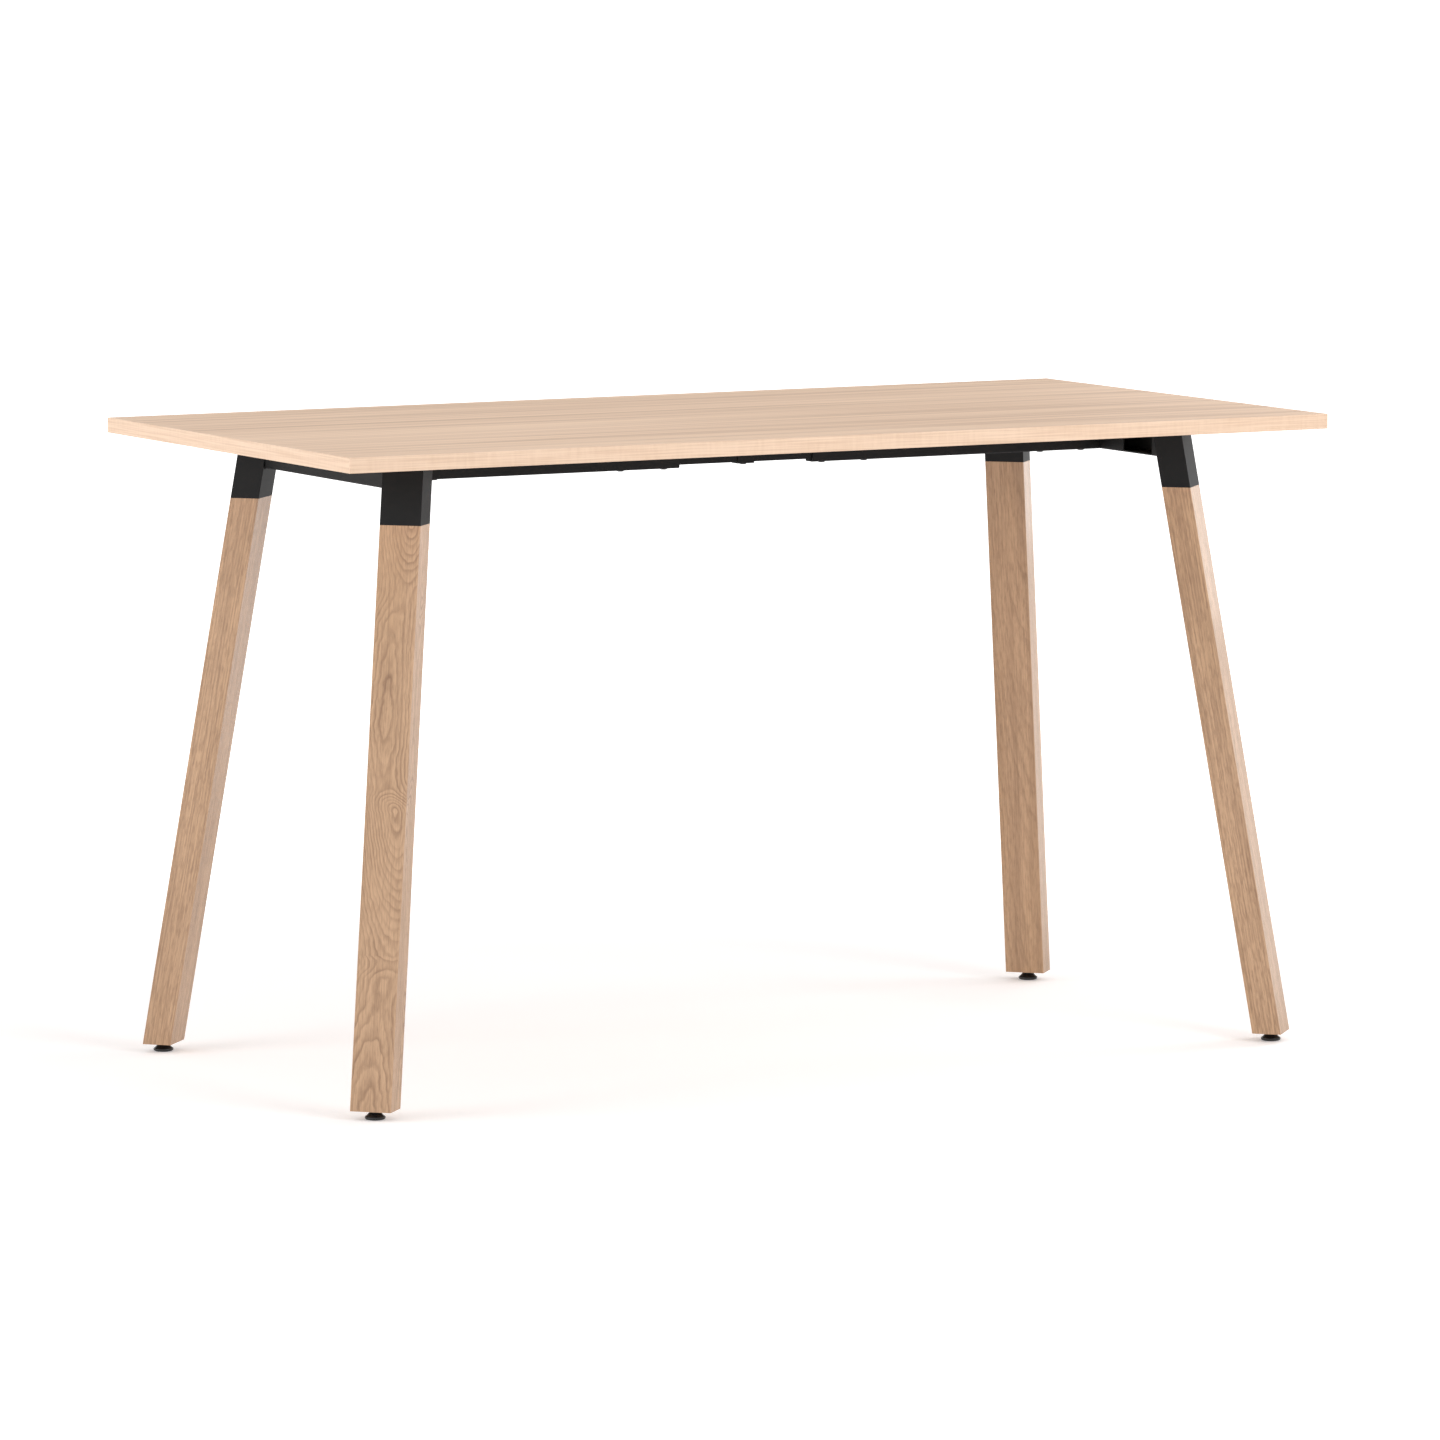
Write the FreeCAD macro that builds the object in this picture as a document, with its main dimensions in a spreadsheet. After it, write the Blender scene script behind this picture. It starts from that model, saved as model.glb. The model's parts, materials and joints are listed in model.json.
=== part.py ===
import FreeCAD, Part
import math
import os
import Sketcher

# A bar table: a wood-faced board on a steel frame with four splayed timber legs.
# The origin is on the floor under the middle of the top. +X runs along the top, +Y to the back, +Z up.

DOC = FreeCAD.newDocument("bar_table")

# Driving sizes in millimetres and degrees.
SIZES = (
    ("top_length", 1800, "table top along X"),
    ("top_width", 900, "table top along Y"),
    ("top_thickness", 25, "board thickness"),
    ("table_height", 1050, "floor to the face of the top"),
    ("band_thickness", 2, "edge band thickness"),
    ("band_round", 1, "radius along the outer edges of the bands"),
    ("leg_inset_x", 192, "end of the top to the leg axis, at the underside of the top"),
    ("leg_inset_y", 182, "side of the top to the leg axis, at the underside of the top"),
    ("splay_angle", 10, "lean of each leg, outwards on its diagonal"),
    ("leg_width", 68, "leg section across the diagonal"),
    ("leg_depth", 48, "leg section along the diagonal, square to the leg"),
    ("leg_arris", 1, "radius on the long edges of legs and sockets"),
    ("socket_height", 100, "height of the steel sockets"),
    ("socket_wall", 3, "wall of the sockets"),
    ("cap_thickness", 4, "plate that closes each socket"),
    ("cap_screw_margin", 13, "socket wall to the wood screw beside it"),
    ("tenon_clearance", 0.2, "gap between tenon and socket wall"),
    ("tenon_gap", 6, "gap between the tenon and the screw heads over it"),
    ("leg_bolt_diameter", 8, "bolt that holds a leg in its socket"),
    ("leg_bolt_length", 20, "leg bolt under its head"),
    ("leg_bolt_head_diameter", 14, "leg bolt head"),
    ("leg_bolt_head_height", 4.4, "leg bolt head"),
    ("leg_bolt_key", 5, "hexagon recess of the leg bolt across its flats"),
    ("washer_diameter", 17, "washer under the leg bolt head"),
    ("washer_thickness", 1.6, "washer under the leg bolt head"),
    ("leg_nut_diameter", 12, "insert nut in the tenon"),
    ("leg_nut_length", 18, "insert nut in the tenon"),
    ("crossbar_height", 50, "crossbar tube section"),
    ("crossbar_width", 40, "crossbar tube section"),
    ("crossbar_wall", 2.5, "crossbar tube wall"),
    ("crossbar_round", 3, "outer corner radius of the crossbar tube"),
    ("window_width", 90, "access window beside each socket"),
    ("window_margin", 20, "end of the crossbar to its window"),
    ("rail_spacing", 160, "between the two rails, centre to centre"),
    ("rail_width", 25, "rail tube section"),
    ("rail_height", 50, "rail tube section"),
    ("rail_wall", 3, "rail tube wall"),
    ("rail_round", 3, "outer corner radius of the rail tubes"),
    ("rail_gap", 250, "between the left and right tubes of one rail"),
    ("bar_wall", 2.5, "wall of the sliding bars and the stubs"),
    ("bar_round", 1.5, "outer corner radius of the sliding bars and the stubs"),
    ("bar_side_clearance", 0.5, "gap on each side of a bar in its rail tube"),
    ("bar_drop", 2, "gap under a bar in its rail tube"),
    ("bar_end_margin", 5, "last clamp screw to the end of a sliding bar"),
    ("stub_end_margin", 20, "last clamp screw to the end of a stub"),
    ("clamp_margin", 23, "inner end of a rail tube to its first clamp screw"),
    ("stub_clamp_margin", 30, "outer end of a rail tube to its first clamp screw"),
    ("clamp_pitch", 80, "between two clamp screws of a pair"),
    ("clamp_screw_diameter", 6, "clamp screw"),
    ("clamp_screw_head_diameter", 12, "clamp screw head"),
    ("clamp_screw_head_height", 2, "clamp screw head"),
    ("clamp_screw_key", 4, "hexagon recess of the clamp screws across its flats"),
    ("collar_length", 30, "collar round the middle of a sliding bar"),
    ("collar_wall", 2, "collar wall"),
    ("collar_round", 1.5, "outer corner radius of the collars"),
    ("collar_screw_length", 12, "collar screw under its head"),
    ("top_screw_diameter", 5, "wood screw into the top"),
    ("top_screw_cover", 7.5, "wood left over the tips of the wood screws"),
    ("top_screw_head_diameter", 10, "wood screw head"),
    ("top_screw_head_height", 3, "wood screw head"),
    ("top_screw_key", 3, "hexagon recess of the wood screws across its flats"),
    ("top_screw_pitch", 120, "between wood screws along a crossbar"),
    ("access_hole_diameter", 14, "hole under each wood screw of a crossbar"),
    ("sole_diameter", 25, "rubber sole in the underside of the pad"),
    ("sole_thickness", 1.6, "rubber sole"),
    ("sole_proud", 0.4, "sole below the underside of the pad"),
    ("pad_lip", 2, "ring of the pad around the sole"),
    ("pad_flare", 2, "rim of the pad outside its underside"),
    ("pad_toe_height", 1.6, "underside of the pad to its rim"),
    ("pad_rim_height", 3, "straight rim of the pad"),
    ("pad_cone_height", 5.6, "cone of the pad above its rim"),
    ("pad_top_diameter", 20, "top of the pad's cone"),
    ("pad_round", 0.8, "radius along the edges of the pad"),
    ("stud_diameter", 10, "threaded stud of a foot"),
    ("stud_reach", 32, "stud above its hexagon"),
    ("stud_hex", 17, "hexagon of the stud across its flats"),
    ("stud_hex_height", 3.8, "hexagon of the stud"),
    ("stud_neck_diameter", 8, "stud where it passes through the pad"),
    ("stud_head_diameter", 14, "stud head held in the pad"),
    ("stud_head_height", 2.6, "stud head held in the pad"),
    ("foot_nut_diameter", 14, "insert nut in the bottom of a leg"),
    ("foot_nut_length", 20, "insert nut in the bottom of a leg"),
    ("running_clearance", 0.08, "radial gap of a thread that turns"),
    ("screw_clearance", 0.05, "radial gap of a piece in the hole that grips it"),
    ("hole_clearance", 0.25, "radial gap of a screw in a plain hole"),
    ("seat_clearance", 0.3, "gap between faces that turn or slide past each other"),
    ("overrun", 5, "how far a cut runs past what it cuts"),
)

# Sizes and places that follow from the driving sizes.
PLACES = (
    ("underside", "=Sizes.table_height - Sizes.top_thickness", "underside of the top"),
    ("pad_rim_low", "=Sizes.sole_proud + Sizes.pad_toe_height", "lower edge of a pad's rim"),
    ("pad_rim_high", "=pad_rim_low + Sizes.pad_rim_height", "upper edge of a pad's rim"),
    ("pad_top", "=pad_rim_high + Sizes.pad_cone_height", "top of a pad"),
    ("pad_base_radius", "=Sizes.sole_diameter / 2 + Sizes.pad_lip", "underside of a pad"),
    ("stud_hex_low", "=pad_top + Sizes.seat_clearance", "lower face of a stud's hexagon"),
    ("stud_hex_high", "=stud_hex_low + Sizes.stud_hex_height", "upper face of a stud's hexagon"),
    ("stud_head_low", "=Sizes.sole_thickness + Sizes.seat_clearance", "lower face of a stud's head"),
    ("stud_head_high", "=stud_head_low + Sizes.stud_head_height", "upper face of a stud's head"),
    ("leg_bottom", "=stud_hex_high + Sizes.seat_clearance", "bottom of the legs"),
    ("leg_drop", "=underside - leg_bottom", "underside of the top to the bottom of a leg"),
    ("lean", "=tan(Sizes.splay_angle)", "run of a leg along its diagonal for each unit of drop"),
    ("leg_x", "=Sizes.top_length / 2 - Sizes.leg_inset_x", "leg axis at the underside"),
    ("leg_y", "=Sizes.top_width / 2 - Sizes.leg_inset_y", "leg axis at the underside"),
    ("foot_x", "=leg_x + lean * leg_drop / sqrt(2)", "foot axis"),
    ("foot_y", "=leg_y + lean * leg_drop / sqrt(2)", "foot axis"),
    ("leg_depth_flat", "=Sizes.leg_depth / cos(Sizes.splay_angle)", "leg section in a level plane"),
    ("wall_flat", "=Sizes.socket_wall / cos(Sizes.splay_angle)", "sloping socket wall in a level plane"),
    ("socket_room_depth", "=leg_depth_flat - 2 * wall_flat", "inside of a socket"),
    ("socket_room_width", "=Sizes.leg_width - 2 * Sizes.socket_wall", "inside of a socket"),
    ("cap_screw_reach", "=socket_room_width / 2 - Sizes.cap_screw_margin", "leg axis to a screw of its cap"),
    ("tenon_room", "=Sizes.cap_thickness + Sizes.top_screw_head_height + Sizes.tenon_gap", "above a tenon"),
    ("tenon_length", "=Sizes.socket_height - tenon_room", "tenon"),
    ("bolt_drop", "=Sizes.crossbar_height / 2", "underside of the top to the leg bolt, on the leg axis"),
    ("nut_start", "=Sizes.leg_depth / 2 - Sizes.socket_wall - Sizes.tenon_clearance", "face of the tenon"),
    ("washer_start", "=Sizes.leg_depth / 2 + Sizes.washer_thickness", "outer face of a washer"),
    ("bolt_start", "=washer_start + Sizes.leg_bolt_head_height", "outer face of a leg bolt"),
    ("nut_end", "=nut_start - Sizes.leg_nut_length", "inner face of an insert nut"),
    ("bolt_end", "=washer_start - Sizes.leg_bolt_length", "tip of a leg bolt"),
    ("nut_hole_end", "=min(nut_end; bolt_end) - Sizes.seat_clearance", "bottom of the hole in a tenon"),
    ("corner_half", "=(Sizes.leg_width - leg_depth_flat) / 2", "leg axis to the corner by the crossbar"),
    ("corner_reach", "=(corner_half + lean * bolt_drop) / sqrt(2)", "that corner half way down the crossbar"),
    ("crossbar_outer", "=leg_x + corner_reach", "outer face of a crossbar"),
    ("crossbar_x", "=crossbar_outer - Sizes.crossbar_width / 2", "middle of a crossbar"),
    ("crossbar_inner", "=crossbar_outer - Sizes.crossbar_width", "inner face of a crossbar"),
    ("crossbar_half", "=leg_y + corner_reach", "half the length of a crossbar"),
    ("window_y", "=crossbar_half - Sizes.window_margin - Sizes.window_width / 2", "middle of a window"),
    ("top_screw_length", "=Sizes.crossbar_wall + Sizes.top_thickness - Sizes.top_screw_cover", "wood screw"),
    ("rail_y", "=Sizes.rail_spacing / 2", "middle of a rail"),
    ("rail_length", "=crossbar_inner - Sizes.rail_gap / 2", "length of a rail tube"),
    ("rail_bottom", "=underside - Sizes.rail_height", "underside of the rail tubes"),
    ("bar_width", "=Sizes.rail_width - 2 * Sizes.rail_wall - 2 * Sizes.bar_side_clearance", "bar section"),
    ("bar_height", "=Sizes.rail_height - 2 * Sizes.rail_wall - Sizes.bar_drop", "bar section"),
    ("bar_grip", "=Sizes.clamp_margin + Sizes.clamp_pitch + Sizes.bar_end_margin", "bar in each rail tube"),
    ("bar_length", "=Sizes.rail_gap + 2 * bar_grip", "length of a sliding bar"),
    ("stub_length", "=Sizes.stub_clamp_margin + Sizes.clamp_pitch + Sizes.stub_end_margin", "stub"),
    ("bar_bottom", "=rail_bottom + Sizes.rail_wall + Sizes.bar_drop", "underside of the bars"),
    ("bar_middle", "=bar_bottom + bar_height / 2", "middle of the bars"),
    ("clamp_reach", "=Sizes.rail_wall + Sizes.bar_drop", "clamp screw under its head"),
    ("collar_room", "=bar_width + 2 * Sizes.seat_clearance", "inside of a collar"),
    ("collar_width", "=collar_room + 2 * Sizes.collar_wall", "collar section"),
    ("collar_roof", "=Sizes.rail_wall - Sizes.seat_clearance", "collar wall over its bar"),
    ("collar_floor", "=underside - bar_bottom + Sizes.seat_clearance", "underside to a collar's floor"),
    ("collar_height", "=collar_floor + Sizes.collar_wall", "collar section"),
    ("collar_bottom", "=underside - collar_height", "underside of the collars"),
)

# Each corner of the table and the side of X and of Y that it is on.
CORNERS = {
    "front_left": (-1, -1),
    "front_right": (1, -1),
    "back_left": (-1, 1),
    "back_right": (1, 1),
}
SIDES = {"left": -1, "right": 1}
ROWS = {"front": -1, "back": 1}

QUARTER_TURN = math.degrees(math.pi / 2)
HEXAGON_SIDES = 6
BOX_CORNERS = 4
PARALLEL_SHARE = 0.999


def fill_sheet(label, rows):
    """A spreadsheet with one alias to each row."""
    sheet = DOC.addObject("Spreadsheet::Sheet", label)
    for number, (alias, content, meaning) in enumerate(rows, start=1):
        sheet.set(f"A{number}", meaning)
        sheet.set(f"B{number}", str(content))
        sheet.setAlias(f"B{number}", alias)
    DOC.recompute()
    return sheet


def value(formula):
    """The number that a formula gives."""
    return float(SHEET.evalExpression(formula))


def place(item, spot, turn=0, tilt=0):
    """Puts an object at a spot of three formulas, tilted about Y and then turned about Z."""
    turned = FreeCAD.Rotation(FreeCAD.Vector(0, 0, 1), turn)
    tilted = FreeCAD.Rotation(FreeCAD.Vector(0, 1, 0), tilt)
    item.Placement = FreeCAD.Placement(FreeCAD.Vector(), turned * tilted)
    for axis, formula in zip("xyz", spot):
        item.setExpression(f"Placement.Base.{axis}", formula)


def corner_turn(corner):
    """Turn about Z that points a corner's own X axis outwards on its diagonal."""
    side_x, side_y = CORNERS[corner]
    return math.degrees(math.atan2(side_y, side_x))


def side_turn(side):
    """Turn about Z that points an object's own X axis to the given side."""
    return QUARTER_TURN * (1 - SIDES[side])


def corner_spot(corner, along, across, up):
    """A place measured from a leg's axis at the underside of the top, in the table's own frame."""
    side_x, side_y = CORNERS[corner]
    x = f"{side_x} * Places.leg_x + ({side_x} * ({along}) - {side_y} * ({across})) / sqrt(2)"
    y = f"{side_y} * Places.leg_y + ({side_y} * ({along}) + {side_x} * ({across})) / sqrt(2)"
    return (x, y, f"Places.underside + ({up})")


def foot_spot(corner, up):
    """A place on the axis of a foot."""
    side_x, side_y = CORNERS[corner]
    return (f"{side_x} * Places.foot_x", f"{side_y} * Places.foot_y", up)


def place_at_corner(item, corner):
    """Puts an object in the frame of a leg."""
    place(item, corner_spot(corner, "0", "0", "0"), corner_turn(corner))


def place_at_foot(item, corner):
    """Puts an object on the axis of a foot, on the floor."""
    place(item, foot_spot(corner, "0"), corner_turn(corner))


def new_body(label):
    """An empty body."""
    body = DOC.addObject("PartDesign::Body", label)
    body.Label = label
    return body


def new_sketch(body, role, offset=("0", "0", "0"), tilt=0):
    """A sketch on one of the body's own planes, moved by formulas and tilted about its own X axis."""
    sketch = body.newObject("Sketcher::SketchObject", f"{body.Name}_sketch")
    plane = next(feature for feature in body.Origin.OriginFeatures if feature.Role == role)
    sketch.AttachmentSupport = (plane, [""])
    sketch.MapMode = "FlatFace"
    tilted = FreeCAD.Rotation(FreeCAD.Vector(1, 0, 0), tilt)
    sketch.AttachmentOffset = FreeCAD.Placement(FreeCAD.Vector(), tilted)
    for axis, formula in zip("xyz", offset):
        sketch.setExpression(f"AttachmentOffset.Base.{axis}", formula)
    return sketch


def hold(sketch, kind, formula, *points):
    """A dimension of the sketch that follows a formula."""
    index = sketch.addConstraint(Sketcher.Constraint(kind, *points, value(formula)))
    sketch.setExpression(f"Constraints[{index}]", formula)


def add_outline(sketch, points):
    """A closed outline of straight lines, each corner held by its own two formulas."""
    first = sketch.GeometryCount
    count = len(points)
    spots = [FreeCAD.Vector(value(across), value(along), 0) for across, along in points]
    for index in range(count):
        sketch.addGeometry(Part.LineSegment(spots[index], spots[(index + 1) % count]), False)
    for index in range(count):
        following = first + (index + 1) % count
        sketch.addConstraint(Sketcher.Constraint("Coincident", first + index, 2, following, 1))
    for index, (across, along) in enumerate(points):
        hold(sketch, "DistanceX", across, -1, 1, first + index, 1)
        hold(sketch, "DistanceY", along, -1, 1, first + index, 1)


def add_rectangle(sketch, across, along):
    """A rectangle about the sketch's origin."""
    half_across = f"({across}) / 2"
    half_along = f"({along}) / 2"
    signs = ((-1, -1), (1, -1), (1, 1), (-1, 1))
    add_outline(sketch, [(f"{one} * {half_across}", f"{two} * {half_along}") for one, two in signs])


def add_circle(sketch, across, along, diameter):
    """A circle with its centre held by two formulas."""
    centre = FreeCAD.Vector(value(across), value(along), 0)
    circle = Part.Circle(centre, FreeCAD.Vector(0, 0, 1), value(diameter) / 2)
    index = sketch.addGeometry(circle, False)
    hold(sketch, "DistanceX", across, -1, 1, index, 3)
    hold(sketch, "DistanceY", along, -1, 1, index, 3)
    hold(sketch, "Diameter", diameter, index)


def lean_direction():
    """The way up along a leg, in the frame of the leg."""
    return FreeCAD.Vector(-value("Places.lean"), 0, 1)


def pad(body, sketch, length, both_ways=False, leaning=False):
    """Pads a sketch along its normal, or along the lean of the legs."""
    feature = body.newObject("PartDesign::Pad", f"{body.Name}_pad")
    feature.Profile = (sketch, [""])
    feature.setExpression("Length", length)
    if both_ways:
        feature.SideType = "Symmetric"
    if leaning:
        feature.UseCustomVector = True
        feature.AlongSketchNormal = True
        feature.Direction = lean_direction()
    return feature


def pocket(body, sketch, length, forwards=False):
    """Cuts a sketch out against its normal, or forwards along it, and makes sure that it cut."""
    DOC.recompute()
    before = body.Shape.Volume
    feature = body.newObject("PartDesign::Pocket", f"{body.Name}_pocket")
    feature.Profile = (sketch, [""])
    feature.setExpression("Length", length)
    feature.Reversed = forwards
    DOC.recompute()
    if body.Shape.Volume >= before:
        raise RuntimeError(f"a pocket of {body.Label} cuts nothing")


def revolve(body, points):
    """Turns an outline of radius and height about the body's Z axis."""
    sketch = new_sketch(body, "XZ_Plane")
    add_outline(sketch, points)
    feature = body.newObject("PartDesign::Revolution", f"{body.Name}_turned")
    feature.Profile = (sketch, [""])
    feature.ReferenceAxis = (sketch, ["V_Axis"])
    feature.Angle = math.degrees(2 * math.pi)
    return feature


def add_prism(body, kind, across_flats, height, base="0"):
    """A hexagon added to a body or taken out of it, standing on Z."""
    prism = body.newObject(f"PartDesign::{kind}Prism", f"{body.Name}_hexagon")
    prism.Polygon = HEXAGON_SIDES
    prism.setExpression("Circumradius", f"({across_flats}) / sqrt(3)")
    prism.setExpression("Height", height)
    prism.setExpression("Placement.Base.z", base)


def round_edges(body, feature, radius, wanted):
    """Rounds the edges of a feature that a test picks out."""
    DOC.recompute()
    names = [f"Edge{number}" for number, edge in enumerate(feature.Shape.Edges, start=1) if wanted(edge)]
    fillet = body.newObject("PartDesign::Fillet", f"{body.Name}_round")
    fillet.Base = (feature, names)
    fillet.setExpression("Radius", radius)


def runs_along(edge, direction):
    """Whether an edge runs along a direction."""
    return abs(edge.tangentAt(edge.FirstParameter).dot(direction)) > PARALLEL_SHARE


def round_long_edges(body, feature, radius, direction):
    """Rounds the four long outer edges of a straight piece, those farthest from its middle line."""
    DOC.recompute()
    direction = FreeCAD.Vector(direction).normalize()
    middle = feature.Shape.BoundBox.Center

    def reach(edge):
        offset = edge.CenterOfGravity - middle
        return (offset - direction * offset.dot(direction)).Length

    long_edges = [edge for edge in feature.Shape.Edges if runs_along(edge, direction)]
    outer = sorted(long_edges, key=reach)[-BOX_CORNERS:]
    round_edges(body, feature, radius, lambda edge: any(edge.isSame(other) for other in outer))


def group(label, master, spots, turns=None, tilt=0):
    """One node of separate solids: a copy of a master piece at each spot, with its own turn where given."""
    copies = []
    for spot, turn in zip(spots, turns or [0] * len(spots)):
        copy = DOC.addObject("App::Link", f"{label}_copy")
        copy.LinkedObject = master
        copy.LinkTransform = False
        place(copy, spot, turn, tilt)
        copies.append(copy)
    node = DOC.addObject("Part::Compound", label)
    node.Label = label
    node.Links = copies
    return node


def build_screw(label, size, length):
    """A screw that stands on its head, with a hexagon recess below and its shank up."""
    body = new_body(label)
    head_radius = f"Sizes.{size}_head_diameter / 2"
    head_height = f"Sizes.{size}_head_height"
    shank_radius = f"Sizes.{size}_diameter / 2"
    end = f"{head_height} + {length}"
    revolve(
        body,
        (
            ("0", "0"),
            (f"({head_radius} + {shank_radius}) / 2", "0"),
            (head_radius, f"{head_height} / 2"),
            (head_radius, head_height),
            (shank_radius, head_height),
            (shank_radius, end),
            ("0", end),
        ),
    )
    add_prism(body, "Subtractive", f"Sizes.{size}_key", f"Sizes.{size}_key / 2")
    return body


def build_ring(label, outer, bore, length):
    """A plain ring that stands on Z."""
    body = new_body(label)
    outer_radius = f"({outer}) / 2"
    bore_radius = f"({bore}) / 2"
    revolve(body, ((bore_radius, "0"), (outer_radius, "0"), (outer_radius, length), (bore_radius, length)))
    return body


def crossbar_screw_spots():
    """Where the wood screws of the two crossbars stand."""
    seat = "Places.underside - Sizes.crossbar_wall - Sizes.top_screw_head_height"
    return [
        (f"{side} * Places.crossbar_x", f"{step} * Sizes.top_screw_pitch", seat)
        for side in SIDES.values()
        for step in (-1, 0, 1)
    ]


def cap_screw_spots():
    """Where the wood screws of the four sockets stand."""
    seat = "-Sizes.cap_thickness - Sizes.top_screw_head_height"
    return [
        corner_spot(corner, "0", f"{step} * Places.cap_screw_reach", seat)
        for corner in CORNERS
        for step in (-1, 1)
    ]


def build_board():
    """The wood-faced board, with a pilot hole in its underside for every wood screw."""
    body = new_body("top_board")
    base = ("0", "0", "Places.underside")
    face = new_sketch(body, "XY_Plane", base)
    bands = "2 * Sizes.band_thickness"
    add_rectangle(face, f"Sizes.top_length - {bands}", f"Sizes.top_width - {bands}")
    pad(body, face, "Sizes.top_thickness")
    pilots = new_sketch(body, "XY_Plane", base)
    for x, y, _ in crossbar_screw_spots() + cap_screw_spots():
        add_circle(pilots, x, y, "Sizes.top_screw_diameter + 2 * Sizes.screw_clearance")
    tip = "Places.top_screw_length - min(Sizes.cap_thickness; Sizes.crossbar_wall)"
    pocket(body, pilots, f"{tip} + Sizes.seat_clearance", forwards=True)
    return body


def build_edge_band(label, length, spot, turn):
    """A strip along one side of the board, rounded along its outer face."""
    body = new_body(label)
    section = new_sketch(body, "XY_Plane")
    add_rectangle(section, length, "Sizes.band_thickness")
    strip = pad(body, section, "Sizes.top_thickness")
    along = FreeCAD.Vector(1, 0, 0)
    round_edges(
        body,
        strip,
        "min(Sizes.band_round; Sizes.band_thickness / 2)",
        lambda edge: edge.CenterOfGravity.y < 0 and runs_along(edge, along),
    )
    place(body, (*spot, "Places.underside"), turn)
    return body


def build_edge_bands():
    """Long bands at the front and back, and short ones at the ends between them."""
    long_shift = "(Sizes.top_width - Sizes.band_thickness) / 2"
    short_shift = "(Sizes.top_length - Sizes.band_thickness) / 2"
    short_length = "Sizes.top_width - 2 * Sizes.band_thickness"
    return [
        build_edge_band("edge_band_front", "Sizes.top_length", ("0", f"-{long_shift}"), 0),
        build_edge_band("edge_band_back", "Sizes.top_length", ("0", long_shift), 2 * QUARTER_TURN),
        build_edge_band("edge_band_left", short_length, (f"-{short_shift}", "0"), -QUARTER_TURN),
        build_edge_band("edge_band_right", short_length, (short_shift, "0"), QUARTER_TURN),
    ]


def leaning_base(drop):
    """Where the axis of a leg is, in the frame of the leg, at a drop below the top."""
    return (f"Places.lean * ({drop})", "0", f"-({drop})")


def bolt_line(before):
    """How far out and up a leg bolt's line is, in the frame of the leg, at a distance before its axis."""
    out = f"Places.lean * Places.bolt_drop - ({before}) * cos(Sizes.splay_angle)"
    up = f"-Places.bolt_drop - ({before}) * sin(Sizes.splay_angle)"
    return (out, up)


def bolt_sketch(body, before):
    """A sketch square to the leg bolt, at a distance before the axis of the leg."""
    out, up = bolt_line(before)
    return new_sketch(body, "YZ_Plane", ("0", up, out), -value("Sizes.splay_angle"))


def build_socket(corner):
    """A steel socket that leans with its leg, cut level at both ends, with the hole for the leg bolt."""
    body = new_body(f"leg_socket_{corner}")
    section = new_sketch(body, "XY_Plane", leaning_base("Sizes.socket_height"))
    add_rectangle(section, "Places.leg_depth_flat", "Sizes.leg_width")
    add_rectangle(section, "Places.socket_room_depth", "Places.socket_room_width")
    shell = pad(body, section, "Sizes.socket_height", leaning=True)
    round_long_edges(body, shell, "Sizes.leg_arris", lean_direction())
    hole = bolt_sketch(body, "0")
    add_circle(hole, "0", "0", "Sizes.leg_bolt_diameter + 2 * Sizes.hole_clearance")
    pocket(body, hole, "Sizes.leg_depth / 2 + Sizes.overrun")
    place_at_corner(body, corner)
    return body


def build_cap(corner):
    """The plate that closes a socket under the top, with two screw holes."""
    body = new_body(f"socket_cap_{corner}")
    section = new_sketch(body, "XY_Plane", leaning_base("Sizes.cap_thickness"))
    add_rectangle(section, "Places.socket_room_depth", "Places.socket_room_width")
    pad(body, section, "Sizes.cap_thickness", leaning=True)
    holes = new_sketch(body, "XY_Plane")
    for step in (-1, 1):
        spot = f"{step} * Places.cap_screw_reach"
        add_circle(holes, "0", spot, "Sizes.top_screw_diameter + 2 * Sizes.hole_clearance")
    pocket(body, holes, "Sizes.cap_thickness + Sizes.overrun")
    place_at_corner(body, corner)
    return body


def build_leg(corner):
    """A timber leg: a leaning shaft cut level, a tenon for the socket, and holes for both insert nuts."""
    body = new_body(f"leg_{corner}")
    foot = leaning_base("Places.leg_drop")
    section = new_sketch(body, "XY_Plane", foot)
    add_rectangle(section, "Places.leg_depth_flat", "Sizes.leg_width")
    shaft = pad(body, section, "Places.leg_drop - Sizes.socket_height", leaning=True)
    round_long_edges(body, shaft, "Sizes.leg_arris", lean_direction())
    shoulder = new_sketch(body, "XY_Plane", leaning_base("Sizes.socket_height"))
    gap = "2 * Sizes.tenon_clearance"
    add_rectangle(shoulder, f"Places.socket_room_depth - {gap}", f"Places.socket_room_width - {gap}")
    pad(body, shoulder, "Places.tenon_length", leaning=True)
    nut_hole = bolt_sketch(body, "Places.nut_hole_end")
    add_circle(nut_hole, "0", "0", "Sizes.leg_nut_diameter + 2 * Sizes.screw_clearance")
    pocket(body, nut_hole, "Places.nut_start - Places.nut_hole_end + Sizes.overrun")
    stud_hole = new_sketch(body, "XY_Plane", foot)
    add_circle(stud_hole, "0", "0", "Sizes.stud_diameter + 2 * Sizes.seat_clearance")
    pocket(body, stud_hole, "Sizes.stud_reach + Sizes.overrun", forwards=True)
    foot_nut_hole = new_sketch(body, "XY_Plane", foot)
    add_circle(foot_nut_hole, "0", "0", "Sizes.foot_nut_diameter + 2 * Sizes.screw_clearance")
    pocket(body, foot_nut_hole, "Sizes.foot_nut_length", forwards=True)
    place_at_corner(body, corner)
    return body


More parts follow.
